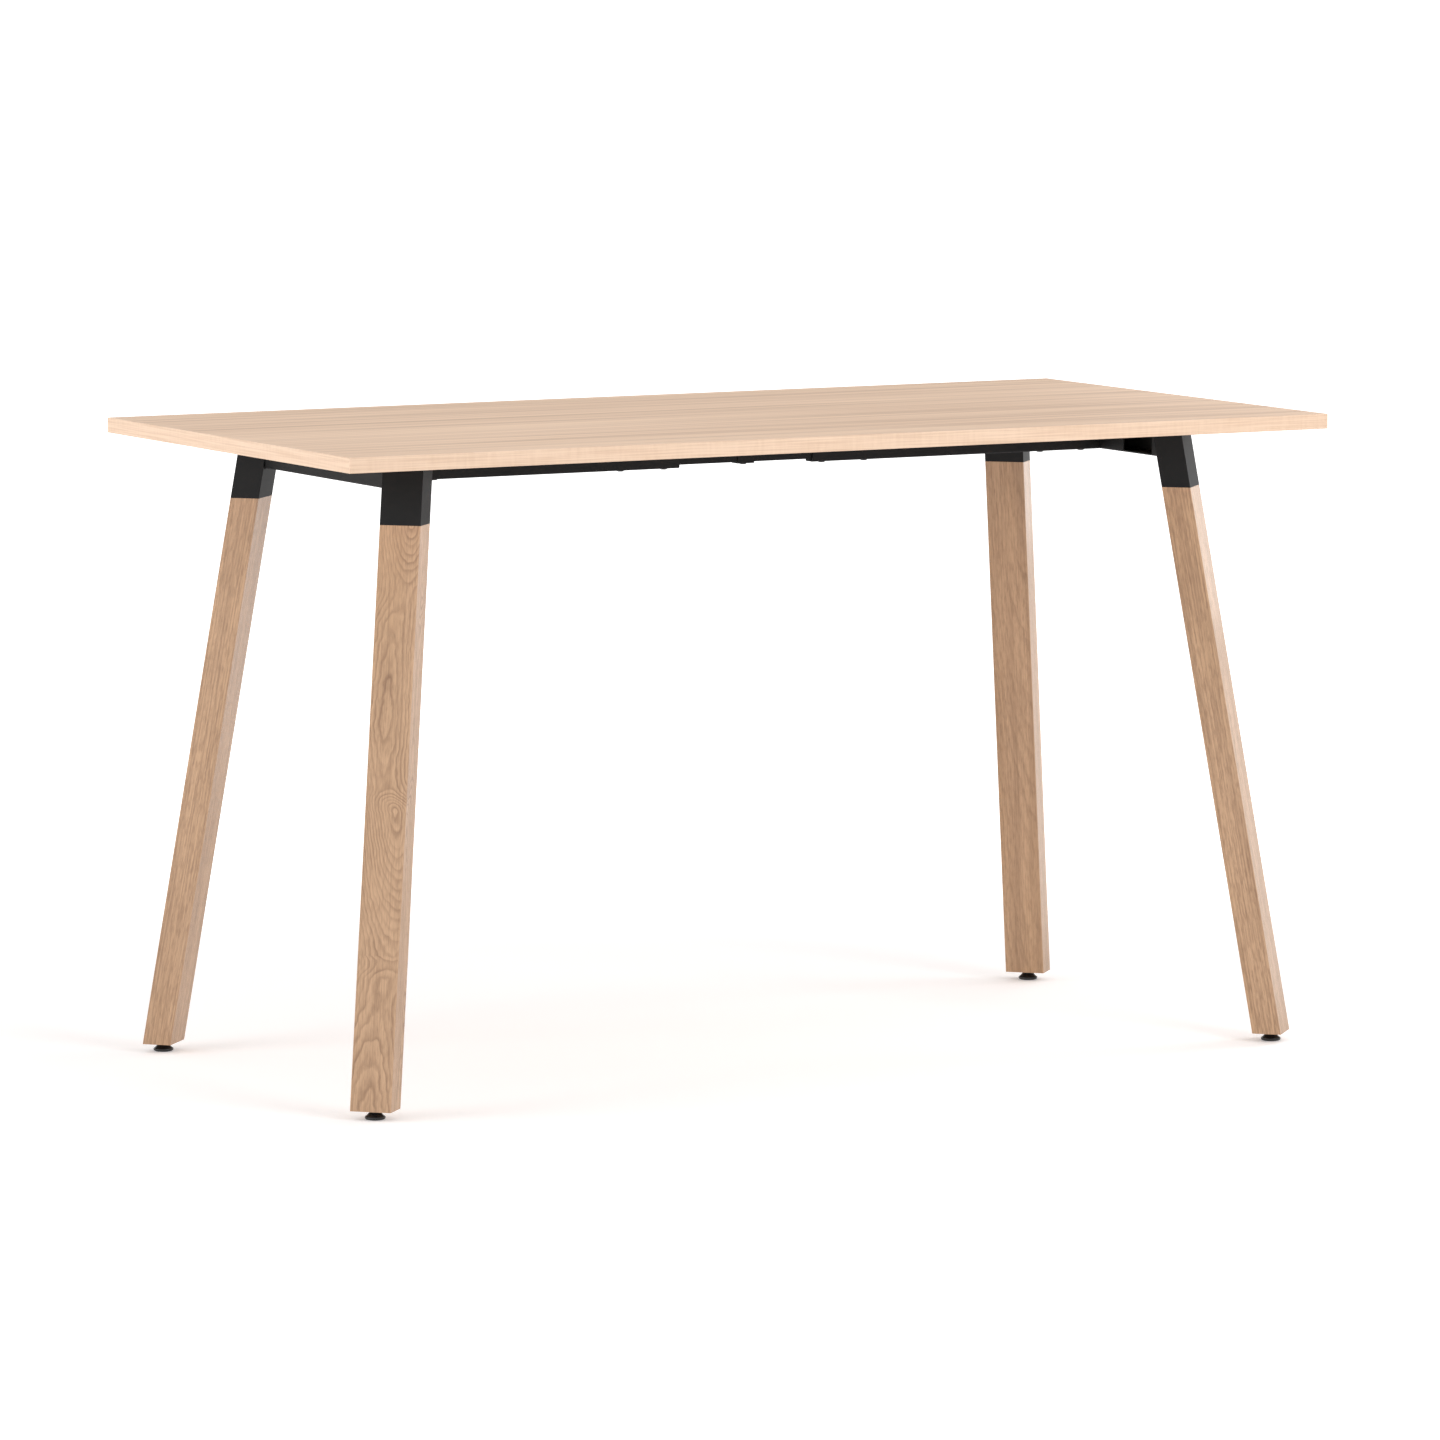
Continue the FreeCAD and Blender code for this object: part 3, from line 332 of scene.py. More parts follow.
@dataclass(frozen=True)
class OakFinish:
    """Clear-lacquered oak for one leg, cut through a log's growth rings.

    The path of the log's pith is given through the leg and across it, as stops up the leg. A level of one
    half is the leg's axis, and 0 and 1 are the reach to either side of it. A ring is one year's growth, and
    an oval under 1 draws the rings out across the leg. Line, streak and mottle are strengths: of the years'
    lines, of the soft streaks, and of the flecks and fibres. The seed shifts the patterns from leg to leg.
    """

    corner: Corner
    through_path: Pairs
    across_path: Pairs
    ring: float
    oval: float
    line: float
    streak: float
    mottle: float
    seed: float
    pale: Colour = (0.558, 0.348, 0.198)
    deep: Colour = (0.24, 0.128, 0.066)
    blush: Colour = (0.612, 0.392, 0.239)
    pore: Colour = (0.195, 0.108, 0.06)
    length: float = 0.924
    half_width: float = 34 * MM
    half_depth: float = 24 * MM
    reach: float = 0.12
    warp: Grain = Grain((14.0, 14.0, 6.0))
    warp_reach: float = 2.6 * MM
    wave: Grain = Grain((75.0, 75.0, 50.0), 1.0)
    wave_reach: float = 1.3 * MM
    year_tone: Pairs = ((0.0, 0.6), (0.06, 1.0), (0.18, 0.8), (0.42, 0.26), (0.85, 0.0), (1.0, 0.6))
    year_spread: float = 0.55
    patch: Grain = Grain((22.0, 22.0, 9.0))
    patch_tone: Pairs = ((0.34, 0.45), (0.6, 1.0))
    broad: Grain = Grain((12.0, 12.0, 1.3))
    broad_tone: Pairs = ((0.35, 0.0), (0.65, 0.8))
    soft: Grain = Grain((46.0, 46.0, 1.8), 3.0)
    soft_tone: Pairs = ((0.36, 0.0), (0.66, 1.0))
    fleck: Grain = Grain((340.0, 340.0, 52.0), 3.0)
    fleck_tone: Pairs = ((0.42, 0.0), (0.72, 1.0))
    fibre: Grain = Grain((420.0, 420.0, 7.0), 3.0)
    fibre_tone: Pairs = ((0.4, 0.0), (0.7, 1.0))
    fibre_height: float = 0.3
    dash: Grain = Grain((2200.0, 2200.0, 85.0), 1.0)
    dash_tone: Pairs = ((0.57, 0.0), (0.64, 1.0))
    dash_everywhere: float = 0.25
    dash_in_lines: float = 0.7
    dash_share: float = 0.7
    # painted highlight along the arrises, mixed with edge wear: how far the long edges pale
    edge_wear_and_highlight_tone: Pairs = ((0.93, 0.0), (1.0, 0.7))
    roughness: float = 0.42
    pore_roughness: float = 0.2
    relief: Relief = Relief(0.15 * MM, 0.5)
    coat: float = 0.22
    coat_roughness: float = 0.18

    def make(self, foot: Vector, splay: float) -> Material:
        """Writes the material in the leg's own frame.

        Args:
            foot: where the leg's axis meets its bottom.
            splay: how far the leg leans, in radians.

        Returns:
            The material.
        """
        graph = Graph.material(f"oak_{self.corner.label}")
        point = self.leg_point(graph, foot, splay)
        across, through, along = graph.split(point)
        moved = {0: point, 1: (self.seed, 0.0, 0.0)}
        spot = graph.add("ShaderNodeVectorMath", moved, operation="ADD").outputs[0]
        lines = self.lines(graph, spot, self.rings(graph, spot, across, through, along))
        fibre = graph.pattern(spot, self.fibre)
        dashes = graph.ramp(graph.pattern(spot, self.dash), self.dash_tone)
        dash_level = graph.calc("MULTIPLY_ADD", lines, self.dash_in_lines, self.dash_everywhere)
        pores = graph.calc("MULTIPLY", dashes, dash_level)
        colour = self.ground(graph, spot, fibre)
        colour = graph.blend(graph.calc("MULTIPLY", lines, self.line), colour, self.deep)
        colour = graph.blend(graph.calc("MULTIPLY", pores, self.dash_share), colour, self.pore)
        height = graph.calc("SUBTRACT", graph.calc("MULTIPLY", fibre, self.fibre_height), pores)
        return graph.finish({
            # the long edges pale towards the blush colour: partly wear, partly a painted highlight along the
            # arrises
            "Base Color": graph.blend(self.edge_wear_and_highlight(graph, across, through), colour, self.blush),
            "Roughness": graph.calc("MULTIPLY_ADD", pores, self.pore_roughness, self.roughness),
            "Normal": graph.bump(height, self.relief),
            "Coat Weight": self.coat,
            "Coat Roughness": self.coat_roughness,
        })

    def leg_point(self, graph: Graph, foot: Vector, splay: float) -> Socket:
        """Turns the point on the piece into the leg's own frame.

        Args:
            graph: the material's nodes.
            foot: where the leg's axis meets its bottom.
            splay: how far the leg leans, in radians.

        Returns:
            The point across the leg, through it and along it.
        """
        up = self.corner.outwards * -math.sin(splay) + Vector((0, 0, math.cos(splay)))
        face = self.corner.outwards * math.cos(splay) + Vector((0, 0, math.sin(splay)))
        turn = Matrix((face.cross(up), face, up)).transposed().to_euler()
        feeds = {"Vector": graph.place(), "Location": tuple(foot), "Rotation": tuple(turn)}
        return graph.add("ShaderNodeMapping", feeds, vector_type="TEXTURE").outputs[0]

    def rings(self, graph: Graph, spot: Socket, across: Socket, through: Socket, along: Socket) -> Socket:
        """Counts growth rings from a pith that wanders along the leg.

        Args:
            graph: the material's nodes.
            spot: the place in the leg's own stretch of the log.
            across: its coordinate across the leg's wide face.
            through: its coordinate through the leg.
            along: its coordinate along the leg.

        Returns:
            The number of rings from the pith.
        """
        share = graph.calc("DIVIDE", along, self.length)
        ways = ((across, self.across_path, self.oval), (through, self.through_path, 1.0))
        squares = []
        for place, path, squash in ways:
            pith = graph.swing(graph.ramp(share, path, Ease.CURVED), self.reach)
            away = graph.calc("MULTIPLY", graph.calc("SUBTRACT", place, pith), squash)
            squares.append(graph.calc("MULTIPLY", away, away))
        radius = graph.calc("SQRT", graph.calc("ADD", *squares))
        warp = graph.swing(graph.pattern(spot, self.warp), self.warp_reach)
        wave = graph.swing(graph.pattern(spot, self.wave), self.wave_reach)
        return graph.calc("DIVIDE", graph.calc("ADD", radius, graph.calc("ADD", warp, wave)), self.ring)

    def lines(self, graph: Graph, spot: Socket, rings: Socket) -> Socket:
        """Draws each year's dark line of early wood.

        Args:
            graph: the material's nodes.
            spot: the place in the leg's own stretch of the log.
            rings: the number of rings from the pith.

        Returns:
            How dark the line is, from 0 to 1.
        """
        line = graph.ramp(graph.calc("FRACT", rings), self.year_tone)
        year = graph.add("ShaderNodeTexWhiteNoise", {"W": graph.calc("FLOOR", rings)}, noise_dimensions="1D")
        level = graph.calc("MULTIPLY_ADD", year.outputs[0], self.year_spread, 1 - self.year_spread)
        patch = graph.ramp(graph.pattern(spot, self.patch), self.patch_tone)
        return graph.calc("MULTIPLY", graph.calc("MULTIPLY", line, level), patch)

    def ground(self, graph: Graph, spot: Socket, fibre: Socket) -> Socket:
        """Colours the timber between the lines.

        Args:
            graph: the material's nodes.
            spot: the place in the leg's own stretch of the log.
            fibre: the pattern of the finest fibres.

        Returns:
            The colour.
        """
        broad = graph.ramp(graph.pattern(spot, self.broad), self.broad_tone, Ease.SOFT)
        colour = graph.blend(broad, self.pale, self.blush)
        layers = (
            (graph.pattern(spot, self.soft), self.soft_tone, self.streak),
            (graph.pattern(spot, self.fleck), self.fleck_tone, self.mottle),
            (fibre, self.fibre_tone, self.mottle),
        )
        for value, tone, strength in layers:
            shade = graph.ramp(value, tone, Ease.SOFT)
            colour = graph.blend(graph.calc("MULTIPLY", shade, strength), colour, self.deep)
        return colour

    def edge_wear_and_highlight(self, graph: Graph, across: Socket, through: Socket) -> Socket:
        """Finds how far the long edges are paled: partly handling wear, partly a painted highlight along the
        arrises.

        Args:
            graph: the material's nodes.
            across: the coordinate across the leg's wide face.
            through: the coordinate through the leg.

        Returns:
            The share of the pale colour.
        """
        near = []
        for side, half in ((across, self.half_width), (through, self.half_depth)):
            share = graph.calc("DIVIDE", graph.calc("ABSOLUTE", side), half)
            near.append(graph.ramp(share, self.edge_wear_and_highlight_tone))
        return graph.calc("MULTIPLY", *near)


@dataclass(frozen=True)
class CoatFinish:
    """A fine coat or skin of one colour, such as powder paint, black oxide, moulded plastic or rubber."""

    name: str
    base: Colour = (0.0112, 0.0116, 0.012)
    dusty: Colour = (0.0158, 0.0162, 0.0166)
    roughness: float = 0.55
    gloss: float = 0.12
    metallic: float = 0.0
    grain: float = 950.0
    peel: float = 0.06 * MM
    peel_strength: float = 0.35
    cloud: float = 9.0
    cloud_octaves: float = 4.0
    cloud_twist: float = 0.6
    cloud_tone: Pairs = ((0.38, 0.0), (0.7, 1.0))
    roughness_swing: float = 0.08

    def make(self) -> Material:
        """Writes the material.

        Returns:
            The material.
        """
        graph = Graph.material(self.name)
        point = graph.place()
        grain = graph.noise(point, self.grain)
        cloud = graph.noise(point, self.cloud, self.cloud_octaves, self.cloud_twist)
        shade = graph.ramp(cloud, self.cloud_tone, Ease.SOFT)
        return graph.finish({
            "Base Color": graph.blend(shade, self.base, self.dusty),
            "Roughness": graph.swing(cloud, self.roughness_swing, self.roughness),
            "Metallic": self.metallic,
            "Specular IOR Level": self.gloss,
            "Normal": graph.bump(grain, Relief(self.peel, self.peel_strength)),
        })


@dataclass(frozen=True)
class ZincFinish:
    """Bright zinc plate on the fixings, with faint cloudy bloom."""

    bright: Colour = (0.66, 0.66, 0.64)
    dull: Colour = (0.45, 0.45, 0.43)
    bloom: float = 140.0
    bloom_octaves: float = 4.0
    bloom_twist: float = 0.5
    roughness: float = 0.345
    roughness_swing: float = 0.125
    pitting: float = 1800.0
    relief: Relief = Relief(0.02 * MM, 0.3)

    def make(self) -> Material:
        """Writes the material.

        Returns:
            The material.
        """
        graph = Graph.material("zinc_steel")
        point = graph.place()
        bloom = graph.noise(point, self.bloom, self.bloom_octaves, self.bloom_twist)
        return graph.finish({
            "Base Color": graph.blend(bloom, self.bright, self.dull),
            "Roughness": graph.swing(bloom, self.roughness_swing, self.roughness),
            "Metallic": 1.0,
            "Normal": graph.bump(graph.noise(point, self.pitting, 1.0), self.relief),
        })


class Bench:
    """The modelling bench: Blender's own operators, used as by hand."""

    MERGE = 0.002 * MM
    # One turn of thread: the root (0) or the crest (1), and how far up the pitch.
    THREAD_FORM = ((0, 0.0), (0, 0.12), (1, 0.5), (1, 0.62), (0, 1.0))
    THREAD_STEPS = 28
    SPARE_TURNS = 2

    @staticmethod
    def clear() -> None:
        """Leaves edit mode and deselects everything."""
        if bpy.context.object and bpy.context.object.mode != "OBJECT":
            bpy.ops.object.mode_set(mode="OBJECT")
        bpy.ops.object.select_all(action="DESELECT")

    @staticmethod
    def edit() -> None:
        """Enters edit mode on the active piece with everything selected."""
        bpy.ops.object.mode_set(mode="EDIT")
        bpy.ops.mesh.select_all(action="SELECT")

    @classmethod
    def close_up(cls) -> None:
        """Merges doubled points, turns the faces outwards and leaves edit mode."""
        bpy.ops.mesh.select_all(action="SELECT")
        bpy.ops.mesh.remove_doubles(threshold=cls.MERGE)
        bpy.ops.mesh.normals_make_consistent(inside=False)
        bpy.ops.object.mode_set(mode="OBJECT")

    @classmethod
    def outline(cls, name: str, profile: Pairs) -> Piece:
        """Draws a profile in the XZ plane by extruding one point from place to place.

        Args:
            name: the new piece's name.
            profile: radius and height of each point, in mm.

        Returns:
            The piece, active and in edit mode.
        """
        cls.clear()
        radius, height = profile[0]
        bpy.ops.mesh.primitive_plane_add(size=MM, location=(0, 0, 0))
        piece = bpy.context.object
        piece.name = piece.data.name = name
        cls.edit()
        bpy.ops.mesh.merge(type="CENTER")
        bpy.ops.transform.translate(value=(radius * MM, 0, height * MM))
        for (radius, height), (next_radius, next_height) in zip(profile, profile[1:]):
            step = ((next_radius - radius) * MM, 0, (next_height - height) * MM)
            bpy.ops.mesh.extrude_region_move(TRANSFORM_OT_translate={"value": step})
        return piece

    @classmethod
    def turn(cls, name: str, profile: Pairs, steps: int = 64) -> Piece:
        """Turns a profile round the Z axis into a closed piece.

        Args:
            name: the new piece's name.
            profile: radius and height of each point, in mm.
            steps: facets round the axis.

        Returns:
            The turned piece.
        """
        piece = cls.outline(name, profile)
        bpy.ops.mesh.select_all(action="SELECT")
        bpy.ops.mesh.spin(steps=steps, angle=math.tau, center=(0, 0, 0), axis=(0, 0, 1))
        cls.close_up()
        return piece

    @classmethod
    def thread(cls, name: str, radii: Pair, pitch: float, low: float, high: float) -> Piece:
        """Winds a right-hand thread and trims it flat at both ends.

        Args:
            name: the new piece's name.
            radii: radius at the root and at the crest, in mm.
            pitch: rise in one turn, in mm.
            low: height of the lower end, in mm.
            high: height of the upper end, in mm.

        Returns:
            The threaded piece.
        """
        start = low - cls.SPARE_TURNS * pitch
        form = tuple((radii[end], start + share * pitch) for end, share in cls.THREAD_FORM)
        piece = cls.outline(name, form)
        bpy.ops.object.mode_set(mode="OBJECT")
        winding = piece.modifiers.new("winding", "SCREW")
        winding.axis = "Z"
        winding.angle = math.tau
        winding.screw_offset = pitch * MM
        winding.iterations = math.ceil((high - start) / pitch) + cls.SPARE_TURNS
        winding.steps = winding.render_steps = cls.THREAD_STEPS
        bpy.ops.object.modifier_apply(modifier=winding.name)
        cls.edit()
        bpy.ops.mesh.remove_doubles(threshold=cls.MERGE)
        for height, outer in ((low, False), (high, True)):
            bpy.ops.mesh.select_all(action="SELECT")
            bpy.ops.mesh.bisect(plane_co=(0, 0, height * MM), plane_no=(0, 0, 1), use_fill=True,
                                clear_inner=not outer, clear_outer=outer)
        cls.close_up()
        return piece

    @classmethod
    def join(cls, first: Piece, *others: Piece) -> None:
        """Joins pieces into the first one.

        Args:
            first: the piece that stays.
            others: the pieces that go into it.
        """
        cls.clear()
        for piece in (first, *others):
            piece.select_set(True)
        bpy.context.view_layer.objects.active = first
        bpy.ops.object.join()

    @classmethod
    def smooth(cls, piece: Piece, degrees: float = 35) -> None:
        """Shades a piece smooth.

        Args:
            piece: the piece.
            degrees: edges that turn by less than this angle are smoothed.
        """
        cls.clear()
        piece.select_set(True)
        bpy.context.view_layer.objects.active = piece
        bpy.ops.object.shade_smooth_by_angle(angle=math.radians(degrees))

    @staticmethod
    def copy(master: Piece, name: str, place: Matrix) -> Piece:
        """Copies a piece and its mesh, with the copy's place in the mesh.

        Args:
            master: the piece to copy.
            name: the copy's name.
            place: where the copy goes.

        Returns:
            The copy.
        """
        piece = master.copy()
        piece.data = master.data.copy()
        piece.name = piece.data.name = name
        piece.data.transform(place)
        bpy.context.scene.collection.objects.link(piece)
        return piece


def dress(material: Material, *names: str) -> None:
    """Gives CAD nodes a finish through their material slots.

    Args:
        material: the finish.
        names: the nodes.
    """
    for name in names:
        for slot in frame["nodes"][name].material_slots:
            slot.material = material
        LOG.info("dressed %s in %s", name, material.name)


def in_slot(slot: str) -> list[str]:
    """The CAD nodes that the record puts in a material slot."""
    return [part["node"] for part in frame["record"]["subparts"] if part["material_slot"] == slot]


def settle(piece: Piece, body: str, slot: str, material: Material, *stands_for: str) -> None:
    """Hands a new piece to its body.

    Args:
        piece: the piece.
        body: the CAD body that it moves with.
        slot: the record's material slot; not used.
        material: its finish.
        stands_for: CAD nodes that it replaces.
    """
    piece.data.materials.clear()
    piece.data.materials.append(material)
    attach(piece, body)
    if stands_for:
        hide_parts(*stands_for)
    LOG.info("built %s on %s", piece.name, body)


@dataclass(frozen=True)
class LegLine:
    """The line on which each socket and leg lean outwards over their corner's diagonal."""

    axis_x: float = 0.708
    axis_y: float = 0.268
    underside: float = 1.025
    bottom: float = 0.015
    splay: float = math.radians(10)

    def foot(self, corner: Corner) -> Vector:
        """Finds where a leg's axis meets its bottom.

        Args:
            corner: the leg's corner.

        Returns:
            The point.
        """
        run = math.tan(self.splay) * (self.underside - self.bottom)
        axis = Vector((corner.side_x * self.axis_x, corner.side_y * self.axis_y, self.bottom))
        return axis + corner.outwards * run


@dataclass
class TableTop:
    """The laminated board and the four bands round it."""

    board: str = "top_board"
    long_bands: tuple[str, ...] = ("edge_band_front", "edge_band_back")
    short_bands: tuple[str, ...] = ("edge_band_left", "edge_band_right")

    def build(self) -> None:
        """Dresses the board and its bands."""
        dress(LaminateFinish().make(), self.board)
        dress(BandFinish(BandRun.ALONG_X).make(), *self.long_bands)
        dress(BandFinish(BandRun.ALONG_Y).make(), *self.short_bands)


@dataclass
class TimberLegs:
    """Four oak legs, each sawn from its own part of a log."""

    line: LegLine = LegLine()
    flat_through: Pairs = (
        (0.0, 0.468), (0.156, 0.428), (0.221, 0.425), (0.261, 0.425), (0.504, 0.575),
        (0.545, 0.512), (0.67, 0.529), (0.827, 0.508), (0.897, 0.5), (1.0, 0.585),
    )
    flat_across: Pairs = (
        (0.0, 0.517), (0.134, 0.517), (0.221, 0.45), (0.264, 0.4), (0.405, 0.39), (0.504, 0.43),
        (0.524, 0.458), (0.567, 0.508), (0.67, 0.525), (0.827, 0.51), (0.897, 0.43), (1.0, 0.42),
    )

    def build(self) -> None:
        """Dresses each leg in timber that follows its lean."""
        for cut in self.cuts():
            dress(cut.make(self.line.foot(cut.corner), self.line.splay), f"leg_{cut.corner.label}")

    def cuts(self) -> tuple[OakFinish, ...]:
        """Chooses how each leg was sawn: one flat through the pith, the others beside it.

        Returns:
            A finish for each leg.
        """
        return (
            OakFinish(
                Corner.FRONT_LEFT, self.flat_through, self.flat_across,
                ring=3.0 * MM, oval=0.68, line=0.92, streak=0.14, mottle=0.3, seed=3.1,
            ),
            OakFinish(
                Corner.FRONT_RIGHT, ((0.0, 0.86), (1.0, 0.9)), ((0.0, 0.8), (1.0, 0.84)),
                ring=4.6 * MM, oval=1.0, line=0.32, streak=0.26, mottle=0.55, seed=11.7,
            ),
            OakFinish(
                Corner.BACK_LEFT, ((0.0, 0.82), (1.0, 0.78)), ((0.0, 0.16), (1.0, 0.2)),
                ring=4.2 * MM, oval=1.0, line=0.36, streak=0.24, mottle=0.5, seed=23.9,
            ),
            OakFinish(
                Corner.BACK_RIGHT, ((0.0, 1.0), (1.0, 0.7)), ((0.0, 0.72), (1.0, 0.66)),
                ring=5.0 * MM, oval=1.0, line=0.42, streak=0.37, mottle=0.36, seed=37.3,
            ),
        )


@dataclass
class SteelFrame:
    """Sockets, crossbars, rails and their screws, with the weld beads between them.

    The beads' sizes are in mm and their smoothing is in degrees. A ripple's crest lies at a share of its run.
    """

    line: LegLine = LegLine()
    half_depth: float = 24.37 * MM
    crossbar_inner: float = 0.67793
    crossbar_outer: float = 0.71793
    crossbar_low: float = 0.975
    crossbar_high: float = 1.025
    bead_radius: float = 2.2
    bead_ripple: float = 0.35
    bead_margin: float = 2.0
    bead_facets: int = 14
    bead_smoothing: float = 60
    ripples: int = 20
    ripple_crest: float = 0.6

    def build(self) -> None:
        """Dresses the steel and lays the weld beads."""
        coat = CoatFinish("black_steel").make()
        oxide = CoatFinish(
            "black_screw", base=(0.014, 0.014, 0.015), dusty=(0.03, 0.03, 0.03),
            roughness=0.38, gloss=0.5, metallic=0.3, grain=1500.0, peel=0.03 * MM,
        ).make()
        dress(coat, *in_slot("black_steel"))
        dress(oxide, *in_slot("black_screw"))
        dress(ZincFinish().make(), *in_slot("zinc_steel"))
        self.weld(coat)

    def seam(self, x: float, z: float) -> Vector:
        """Finds where a socket's inner face crosses a crossbar, at the back right corner.

        Args:
            x: the place along X.
            z: the height.

        Returns:
            The point.
        """
        lean = math.tan(self.line.splay) * (self.line.underside - z)
        y = self.line.axis_x + self.line.axis_y + math.sqrt(2) * (lean - self.half_depth) - x
        return Vector((x, y, z))

    def weld(self, coat: Material) -> None:
        """Lays a rippled bead along two seams of each socket.

        Args:
            coat: the powder coat over the bead.
        """
        near = self.seam(self.crossbar_inner, self.crossbar_low)
        ends = {
            "under": self.seam(self.crossbar_outer, self.crossbar_low),
            "inner": self.seam(self.crossbar_inner, self.crossbar_high),
        }
        for name, far in ends.items():
            master = self.bead(f"weld_{name}", (far - near).length / MM)
            for corner in Corner:
                sides = Vector((corner.side_x, corner.side_y, 1))
                start = near * sides
                along = far * sides - start
                place = Matrix.Translation(start) @ along.to_track_quat("Z", "Y").to_matrix().to_4x4()
                piece = Bench.copy(master, f"weld_{name}_{corner.label}", place)
                settle(piece, "table", "black_steel", coat)
            bpy.data.objects.remove(master)

    def bead(self, name: str, length: float) -> Piece:
        """Turns one weld bead along Z.

        Args:
            name: its name.
            length: its length in mm.

        Returns:
            The bead.
        """
        margin = self.bead_margin
        dip = self.bead_radius - self.bead_ripple
        step = (length - 2 * margin) / self.ripples
        profile = [(0.0, margin / 2)]
        for ripple in range(self.ripples):
            low = margin + ripple * step
            profile += [(dip, low), (self.bead_radius, low + self.ripple_crest * step)]
        profile += [(dip, length - margin), (0.0, length - margin / 2)]
        piece = Bench.turn(name, tuple(profile), self.bead_facets)
        Bench.smooth(piece, self.bead_smoothing)
        return piece


@dataclass
class LevellingFeet:
    """Four feet, each a moulded pad with a ringed rubber sole, turned by a hexagon on a threaded stud.

    Sizes are in mm.
    """

    pad_profile: Pairs = (
        (12.55, 0.4), (14.1, 0.4), (14.5, 0.52), (16.15, 1.75), (16.42, 2.1), (16.5, 2.5), (16.5, 4.3),
        (16.4, 4.75), (16.1, 5.1), (15.6, 5.4), (14.4, 6.25), (13.0, 7.4), (11.8, 8.6), (10.75, 9.9),
        (10.4, 10.35), (9.9, 10.6), (4.7, 10.6), (4.25, 10.2), (4.25, 4.85), (7.3, 4.85), (7.3, 1.65),
        (12.55, 1.65), (12.55, 0.4),
    )
    sole_radius: float = 12.5
    sole_height: float = 1.6
    sole_rings: Pairs = ((3.0, 5.4), (6.8, 8.8), (10.2, 12.1))
    groove_depth: float = 0.5
    ring_slope: float = 0.4
    neck_profile: Pairs = (
        (0.0, 1.9), (6.6, 1.9), (7.0, 2.3), (7.0, 4.1), (6.6, 4.5), (4.0, 4.5), (4.0, 11.2), (0.0, 11.2),
    )
    hex_flats: float = 17.0
    hex_low: float = 10.9
    hex_high: float = 14.7
    hex_bevel: float = 0.4
    thread_overlap: float = 0.2
    thread_radii: Pair = (4.1, 4.98)
    thread_pitch: float = 1.5
    stud_top: float = 46.7

    def build(self) -> None:
        """Models one foot and sets a copy of it under each leg."""
        plastic = CoatFinish(
            "foot_plastic", base=(0.008, 0.008, 0.0085), dusty=(0.013, 0.013, 0.0135),
            roughness=0.34, gloss=0.5, grain=1300.0, peel=0.04 * MM,
        )
        rubber = CoatFinish(
            "foot_rubber", base=(0.014, 0.014, 0.014), dusty=(0.022, 0.022, 0.021),
            roughness=0.78, gloss=0.3, grain=700.0, peel=0.08 * MM,
        )
        oxide = CoatFinish(
            "black_stud", base=(0.012, 0.012, 0.013), dusty=(0.024, 0.024, 0.025),
            roughness=0.36, gloss=0.5, metallic=0.3, grain=1500.0, peel=0.03 * MM,
        )
        spots = {mount["name"]: mount["pos_m"] for mount in frame["record"]["mounts"]}
        kinds = (
            ("pad", self.pad(), "pad", plastic),
            ("sole", self.sole(), "pad", rubber),
            ("stud", self.stud(), "stud", oxide),
        )
        for kind, master, body, finish in kinds:
            material = finish.make()
            for corner in Corner:
                place = Matrix.Translation(spots[f"foot_{corner.label}"])
                piece = Bench.copy(master, f"levelling_{kind}_{corner.label}", place)
                settle(piece, f"{body}_{corner.label}", finish.name, material, f"foot_{kind}_{corner.label}")
            bpy.data.objects.remove(master)

    def pad(self) -> Piece:
        """Turns the moulded pad, with the room for the stud's head and the seat of the sole inside it.

        Returns:
            The pad.
        """
        piece = Bench.turn("pad", self.pad_profile)
        Bench.smooth(piece)
        return piece

    def sole(self) -> Piece:
        """Turns the rubber sole, with rings that grip the floor.

        Returns:
            The sole.
        """
        slope = self.ring_slope
        profile = [(0.0, self.groove_depth)]
        for inner, outer in self.sole_rings:
            profile += [(inner - slope, self.groove_depth), (inner, 0.0)]
            profile += [(outer, 0.0), (outer + slope, self.groove_depth)]
        profile[-1] = (self.sole_radius, slope)
        profile += [(self.sole_radius, self.sole_height), (0.0, self.sole_height)]
        piece = Bench.turn("sole", tuple(profile))
        Bench.smooth(piece)
        return piece

    def stud(self) -> Piece:
        """Builds the stud: head and neck in the pad, hexagon for a spanner, and thread.

        Returns:
            The stud.
        """
        piece = Bench.turn("stud", self.neck_profile)
        Bench.clear()
        height = (self.hex_high - self.hex_low) * MM
        middle = (0, 0, self.hex_low * MM + height / 2)
        radius = self.hex_flats / math.sqrt(3) * MM
        bpy.ops.mesh.primitive_cylinder_add(vertices=6, radius=radius, depth=height, location=middle)
        hexagon = bpy.context.object
        bpy.ops.object.transform_apply(location=True, rotation=True, scale=True)
        Bench.edit()
        bpy.ops.mesh.bevel(offset=self.hex_bevel * MM, segments=2, affect="EDGES")
        Bench.close_up()
        thread_low = self.hex_high - self.thread_overlap
        thread = Bench.thread("thread", self.thread_radii, self.thread_pitch, thread_low, self.stud_top)
        Bench.join(piece, hexagon, thread)
        Bench.smooth(piece)
        return piece


@dataclass(frozen=True)
class Lamp:
    """A soft lamp: its place, the point it faces, the size of its face and its power in watts.

    A narrow spread, in degrees, stands for a grid before it. Without glints, shiny surfaces don't mirror it.
    """

    name: str
    place: Place
    aim: Place
    size: Pair
    power: float
    spread: float = 180
    glints: bool = True

    def hang(self) -> None:
        """Hangs the lamp out of the camera's sight."""
        light = bpy.data.lights.new(self.name, "AREA")
        light.shape = "RECTANGLE"
        light.size, light.size_y = self.size
        light.energy = self.power
        light.spread = math.radians(self.spread)
        lamp = bpy.data.objects.new(self.name, light)
        lamp.location = self.place
        lamp.rotation_euler = (Vector(self.aim) - Vector(self.place)).to_track_quat("-Z", "Y").to_euler()
        lamp.visible_camera = False
        lamp.visible_glossy = self.glints
        bpy.context.scene.collection.objects.link(lamp)


